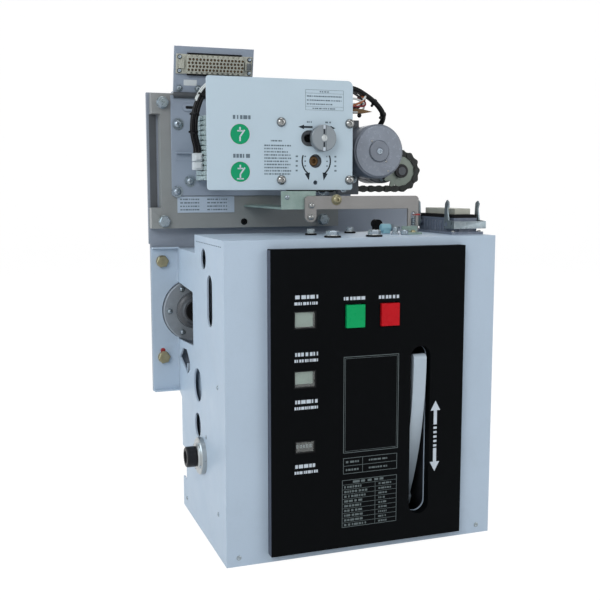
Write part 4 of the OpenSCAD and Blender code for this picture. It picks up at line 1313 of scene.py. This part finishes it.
def add_top_bolts():
    """Hexagon bolts on rubber pads along the housing top."""
    front = [(-37, 24), (21, 24)]
    rear = [(-43, 88), (25, 115)]
    pads, washers = Shape(), Shape()
    for (x, d), r in [(p, 11) for p in front] + [(p, 8) for p in rear]:
        pads.rod((x, d, TOP), UP, 2.2, r, 0.6, 32)
        washers.rod((x, d, TOP + 2.2), UP, 1.2, r - 2.5, 0.3, 32)
    pads.finish("top_pads", "black_rubber")
    washers.finish("top_washers", "bright_metal")
    hex_bolts("top_bolts_front", [(x, d, TOP + 3.4) for x, d in front], UP, 15, 5.2, "zinc")
    hex_bolts("top_bolts_rear", [(x, d, TOP + 3.4) for x, d in rear], UP, 9, 5, "zinc")


def add_plate_bolts():
    """Bolts in the flanges and the stand-off frame, and the small parts round them."""
    flange = WALL.d[1] - 2.5
    through = PLATE.d[1] - flange - 0.4
    x = PLATE.x[1] - 16
    rows = (TOP - 187, TOP - 44.5)
    hex_bolts("flange_bolts", [(s * x, flange, z) for s in (-1, 1) for z in rows], FORWARD, 16, 6.0,
              "yellow_zinc", washer=8.8, thread=through)
    mark = Shape()
    mark.turned((-x - 1, flange, rows[0] + 10), FORWARD, [(0, 4), (0.5, 3.6), (0.8, 2)], 7)
    mark.finish("bolt_paint_mark", "paint_red")
    tray = TRAY.d[0]
    through = PLATE.d[1] - tray - 0.4
    places = [(bx, tray, bz) for bx in (-208.5, 36.5) for bz in (TOP + 14.5, TOP + 182.5)]
    hex_bolts("frame_bolts", places, FORWARD, 15, 6.5, "zinc", washer=8.6, thread=through)
    base = BASE.d[0]
    dome_screws("base_screws", [(-187, base, 563), (-189.5, base, 467), (-170, base, 482),
                                (30, base, 595), (34, base, 469)],
                FORWARD, 5.6, 3.2, "zinc", washer=8.6)
    tab = Shape().prism(rounded((-180, -158), (581, 592), 5), (base - 2.2, base))
    tab.finish("base_raised_tab", "base_grey", bevel=0.9)
    # a thin near-black print on the tab stands for its slot: painted shade
    slot = Shape().prism(rounded((-176, -162), (584.5, 588.5), 1.9), (base - 2.32, base - 2.2))
    slot.finish("base_tab_slot_shade", "painted_shade_black")
    ledge = Shape()
    ledge.box((-191, -158), (base - 7, base), (521, 523))
    ledge.box((-191, -158), (base - 0.5, base), (511, 521))
    ledge.finish("base_ledge", "base_grey", bevel=0.5)
    foil = Place("rating_plate")
    rng = random.Random(3)
    lines = Print(foil.d[0])
    for row in range(4):
        z = foil.z[1] - 4.2 - 5 * row
        lines.dashes((foil.x[0] + 4, foil.x[0] + 32), z, 1.9, 2.4, rng)
        lines.dashes((foil.x[0] + 44, foil.x[0] + 74), z, 1.9, 2.4, rng)
    lines.finish("rating_plate_lines", "ink_grey")
    # dark sheet on the mounting plate in the frame's notch: painted shade, where the notch lies in
    # the frame's shadow
    notch_shade = Shape().box((PLATE.x[0] + 3, TRAY.x[0] + 12), (PLATE.d[0] - 1.2, PLATE.d[0]),
                        (TOP + 34, TOP + 167))
    notch_shade.finish("frame_notch_painted_shade", "dark_steel")
    # black ring at the hole in the frame's lower flange: painted shade in the hole
    hole_shade_ring = Shape().ring((-89, tray - 0.6, TOP + 12.5), BACK, 1.2, 4.8, 3.4, 28)
    hole_shade_ring.finish("frame_hole_shade_ring", "black_rubber")


# ---------------------------------------------------------------- wiring

BUNDLE = [(-169.2, 207, 111), (-169.2, 207, 119), (-174, 202, 136), (-175, 197, 154),
          (-172, 196, 170), (-166, 196, 186), (-156, 199, 199), (-144, 205, 207),
          (-136, 218, 212), (-133, 235, 214)]
CABLE = [(-20, 247, 180), (-20, 238, 180), (-12, 212, 193), (8, 188, 202), (30, 168, 204),
         (48, 156, 201), (66, 152, 191), (82, 154, 180), (95, 163, 169), (102, 178, 161),
         (104, 192, 154), (104, 200, 148), (104, 200, 140)]


def raised(route):
    return [Vector((x, d, TOP + z)) for x, d, z in route]


def add_bundle():
    """Thin wires side by side, tied in three places, that fan out at the top."""
    rng = random.Random(7)
    centre = curve_through(raised(BUNDLE), 5)
    wires = Shape()
    count = len(centre)
    for k in range(11):
        ring = 0.0 if k == 0 else (2.6 if k < 5 else 4.3)
        phase = TAU * k / (4 if k < 5 else 6)
        twist = rng.uniform(-0.5, 0.5)
        path = []
        for i, p in enumerate(centre):
            share = i / (count - 1)
            spread = 1.0 + 0.35 * max(0.0, share - 0.6)
            a = phase + twist * share * 2
            path.append(p + Vector((math.cos(a) * ring * spread,
                                    math.sin(a) * ring * spread * (0.9 if share < 0.6 else 0.8),
                                    math.sin(a) * ring * spread * share * 0.5)))
        wires.tube(path, 1.25, 7)
    wires.finish("control_wires", "wire_black", replaces=("wire_bundle",), angle=60)
    white = Shape()
    for shift in (0.0, 2.2):
        path = [p + Vector((-3.6 - shift * 0.3, -2.5 + shift, 1.5 + shift))
                for p in centre[int(count * 0.5):int(count * 0.86)]]
        white.tube(path, 1.2, 7)
    white.finish("control_wires_white", "wire_white", angle=60)
    ties = Shape()
    for i in (int(count * f) for f in (0.26, 0.4, 0.58)):
        p, t = centre[i], (centre[i + 1] - centre[i - 1]).normalized()
        ties.turned(p - t * 1.4, t, [(0, 4.6), (0, 6.1), (2.8, 6.1), (2.8, 4.6)], 20, hollow=True)
        ties.box((p.x - 7.4, p.x - 5), (p.y - 1.5, p.y + 1.5), (p.z - 1.4, p.z + 1.4))
    ties.finish("bundle_ties", "black_plastic", bevel=0.3)


def add_cable():
    """Sleeved motor cable in a high arch, with cable ties."""
    path = curve_through(raised(CABLE), 6)
    Shape().tube(path, 3.75, 14).finish("motor_lead", "sleeve_black", replaces=("motor_cable",),
                                        angle=60)
    ties = Shape()
    count = len(path)
    for f in (0.36, 0.56, 0.68):
        i = int(count * f)
        p, t = path[i], (path[i + 1] - path[i - 1]).normalized()
        ties.turned(p - t * 1.2, t, [(0, 3.6), (0, 4.6), (2.4, 4.6), (2.4, 3.6)], 20, hollow=True)
        out = t.cross(Vector(BACK)).normalized()
        ties.turned(p - out * 4, -out, [(0, 1.9), (3.4, 1.9), (4.0, 1.2)], 10)
    ties.finish("lead_ties", "black_plastic")
    gland = Shape()
    end = path[-1]
    gland.turned(end - Vector((0, 0, 3)), UP, [(0, 6), (5, 6), (5.5, 5.2), (10, 4.6)], 8)
    gland.finish("lead_gland", "black_plastic")


def add_small_wires():
    """Coloured wires with a brass ring lug, beside the cover's upper right corner."""
    ends = {
        "wire_black": [((2, 120, 592), (28, 132, 604), (46, 142, 601), (58, 150, 594),
                        (52, 158, 584), (34, 166, 580)),
                       ((2, 124, 588), (26, 138, 600), (44, 148, 606), (62, 154, 600),
                        (60, 160, 590), (44, 168, 584))],
        "wire_white": [((4, 122, 580), (28, 134, 594), (46, 144, 596), (60, 150, 590),
                        (56, 150, 580), (40, 146, 578)),
                       ((4, 126, 584), (30, 140, 588), (48, 146, 590), (58, 148, 596),
                        (64, 152, 604), (62, 158, 606))],
        "wire_orange": [((4, 124, 574), (26, 134, 582), (42, 142, 588), (54, 146, 592),
                         (60, 150, 598), (56, 156, 604))],
        "wire_red": [((4, 128, 578), (30, 138, 585), (48, 144, 586), (60, 148, 588),
                      (62, 154, 594), (54, 160, 600))],
    }
    for look_name, routes in ends.items():
        shape = Shape()
        for route in routes:
            shape.tube(curve_through(route, 6), 1.5, 8)
        shape.finish("lead_" + look_name, look_name, angle=60)
    lug = Shape()
    lug.prism([(34, 576), (56, 576.5), (72, 579.5), (56, 583), (34, 584)], (147, 149.5))
    lug.finish("brass_lug", "brass", bevel=0.4)
    drop = Shape()
    drop.turned((52, 148, 577), (0, 0, -1), [(0, 2.0), (2, 3.0), (4, 3.0), (6, 1.4)], 16)
    drop.finish("lug_nut", "black_plastic")


def add_terminals():
    """Row of translucent terminal blocks with white plugs."""
    p = Place("terminal_blocks")
    count = 13
    pitch = (p.z[1] - p.z[0]) / count
    bodies, metal = Shape(), Shape()
    for k in range(count):
        z = (p.z[0] + k * pitch + 0.3, p.z[0] + (k + 1) * pitch - 0.3)
        bodies.box((p.x[0] + 2.5, p.x[1] - 2.5), (p.d[0], p.d[1]), z)
        bodies.box((p.x[0], p.x[1]), (p.d[0] + 12, p.d[1] - 6), z)
        bodies.box((p.x[0], p.x[0] + 4), (p.d[0] + 3, p.d[0] + 10), (z[0] + 1, z[1] - 1))
        mid = sum(z) / 2
        metal.rod((p.mid_x, p.d[0] + 0.2, mid), FORWARD, 0.6, 2.2, 0.3, 14)
    bodies.finish("terminal_row", "terminal_clear", bevel=0.4, replaces=("terminal_blocks",))
    metal.finish("terminal_screws", "zinc")
    p = Place("wire_plugs")
    plugs = Shape()
    half = (p.z[1] - p.z[0]) / 2
    for k in range(2):
        z = (p.z[0] + k * half + 0.4, p.z[0] + (k + 1) * half - 0.4)
        plugs.box(p.x, p.d, z)
        plugs.box((p.x[0] + 2, p.x[1] - 2), (p.d[0] - 2.5, p.d[0]), (z[0] + 2, z[1] - 2))
    plugs.finish("white_plugs", "plug_white", bevel=0.7, replaces=("wire_plugs",))


# ---------------------------------------------------------------- assembly

add_sheet_metal()
add_housing_details()
add_seals()
add_shaft_end()
add_flags()
add_panel_print()
add_knob()
add_discs()
add_cover_print()
add_cover_posts()
add_crank_shaft()
add_motor()
add_gearbox()
add_chain()
add_plug_insert()
add_housing_plug()
add_interlock_details()
add_top_bolts()
add_plate_bolts()
add_bundle()
add_cable()
add_small_wires()
add_terminals()

for node, obj in frame["nodes"].items():
    name = NODE_LOOK.get(node) or SLOT_LOOK[SLOT_OF[node]]
    for material_slot in obj.material_slots:
        material_slot.material = look(name)
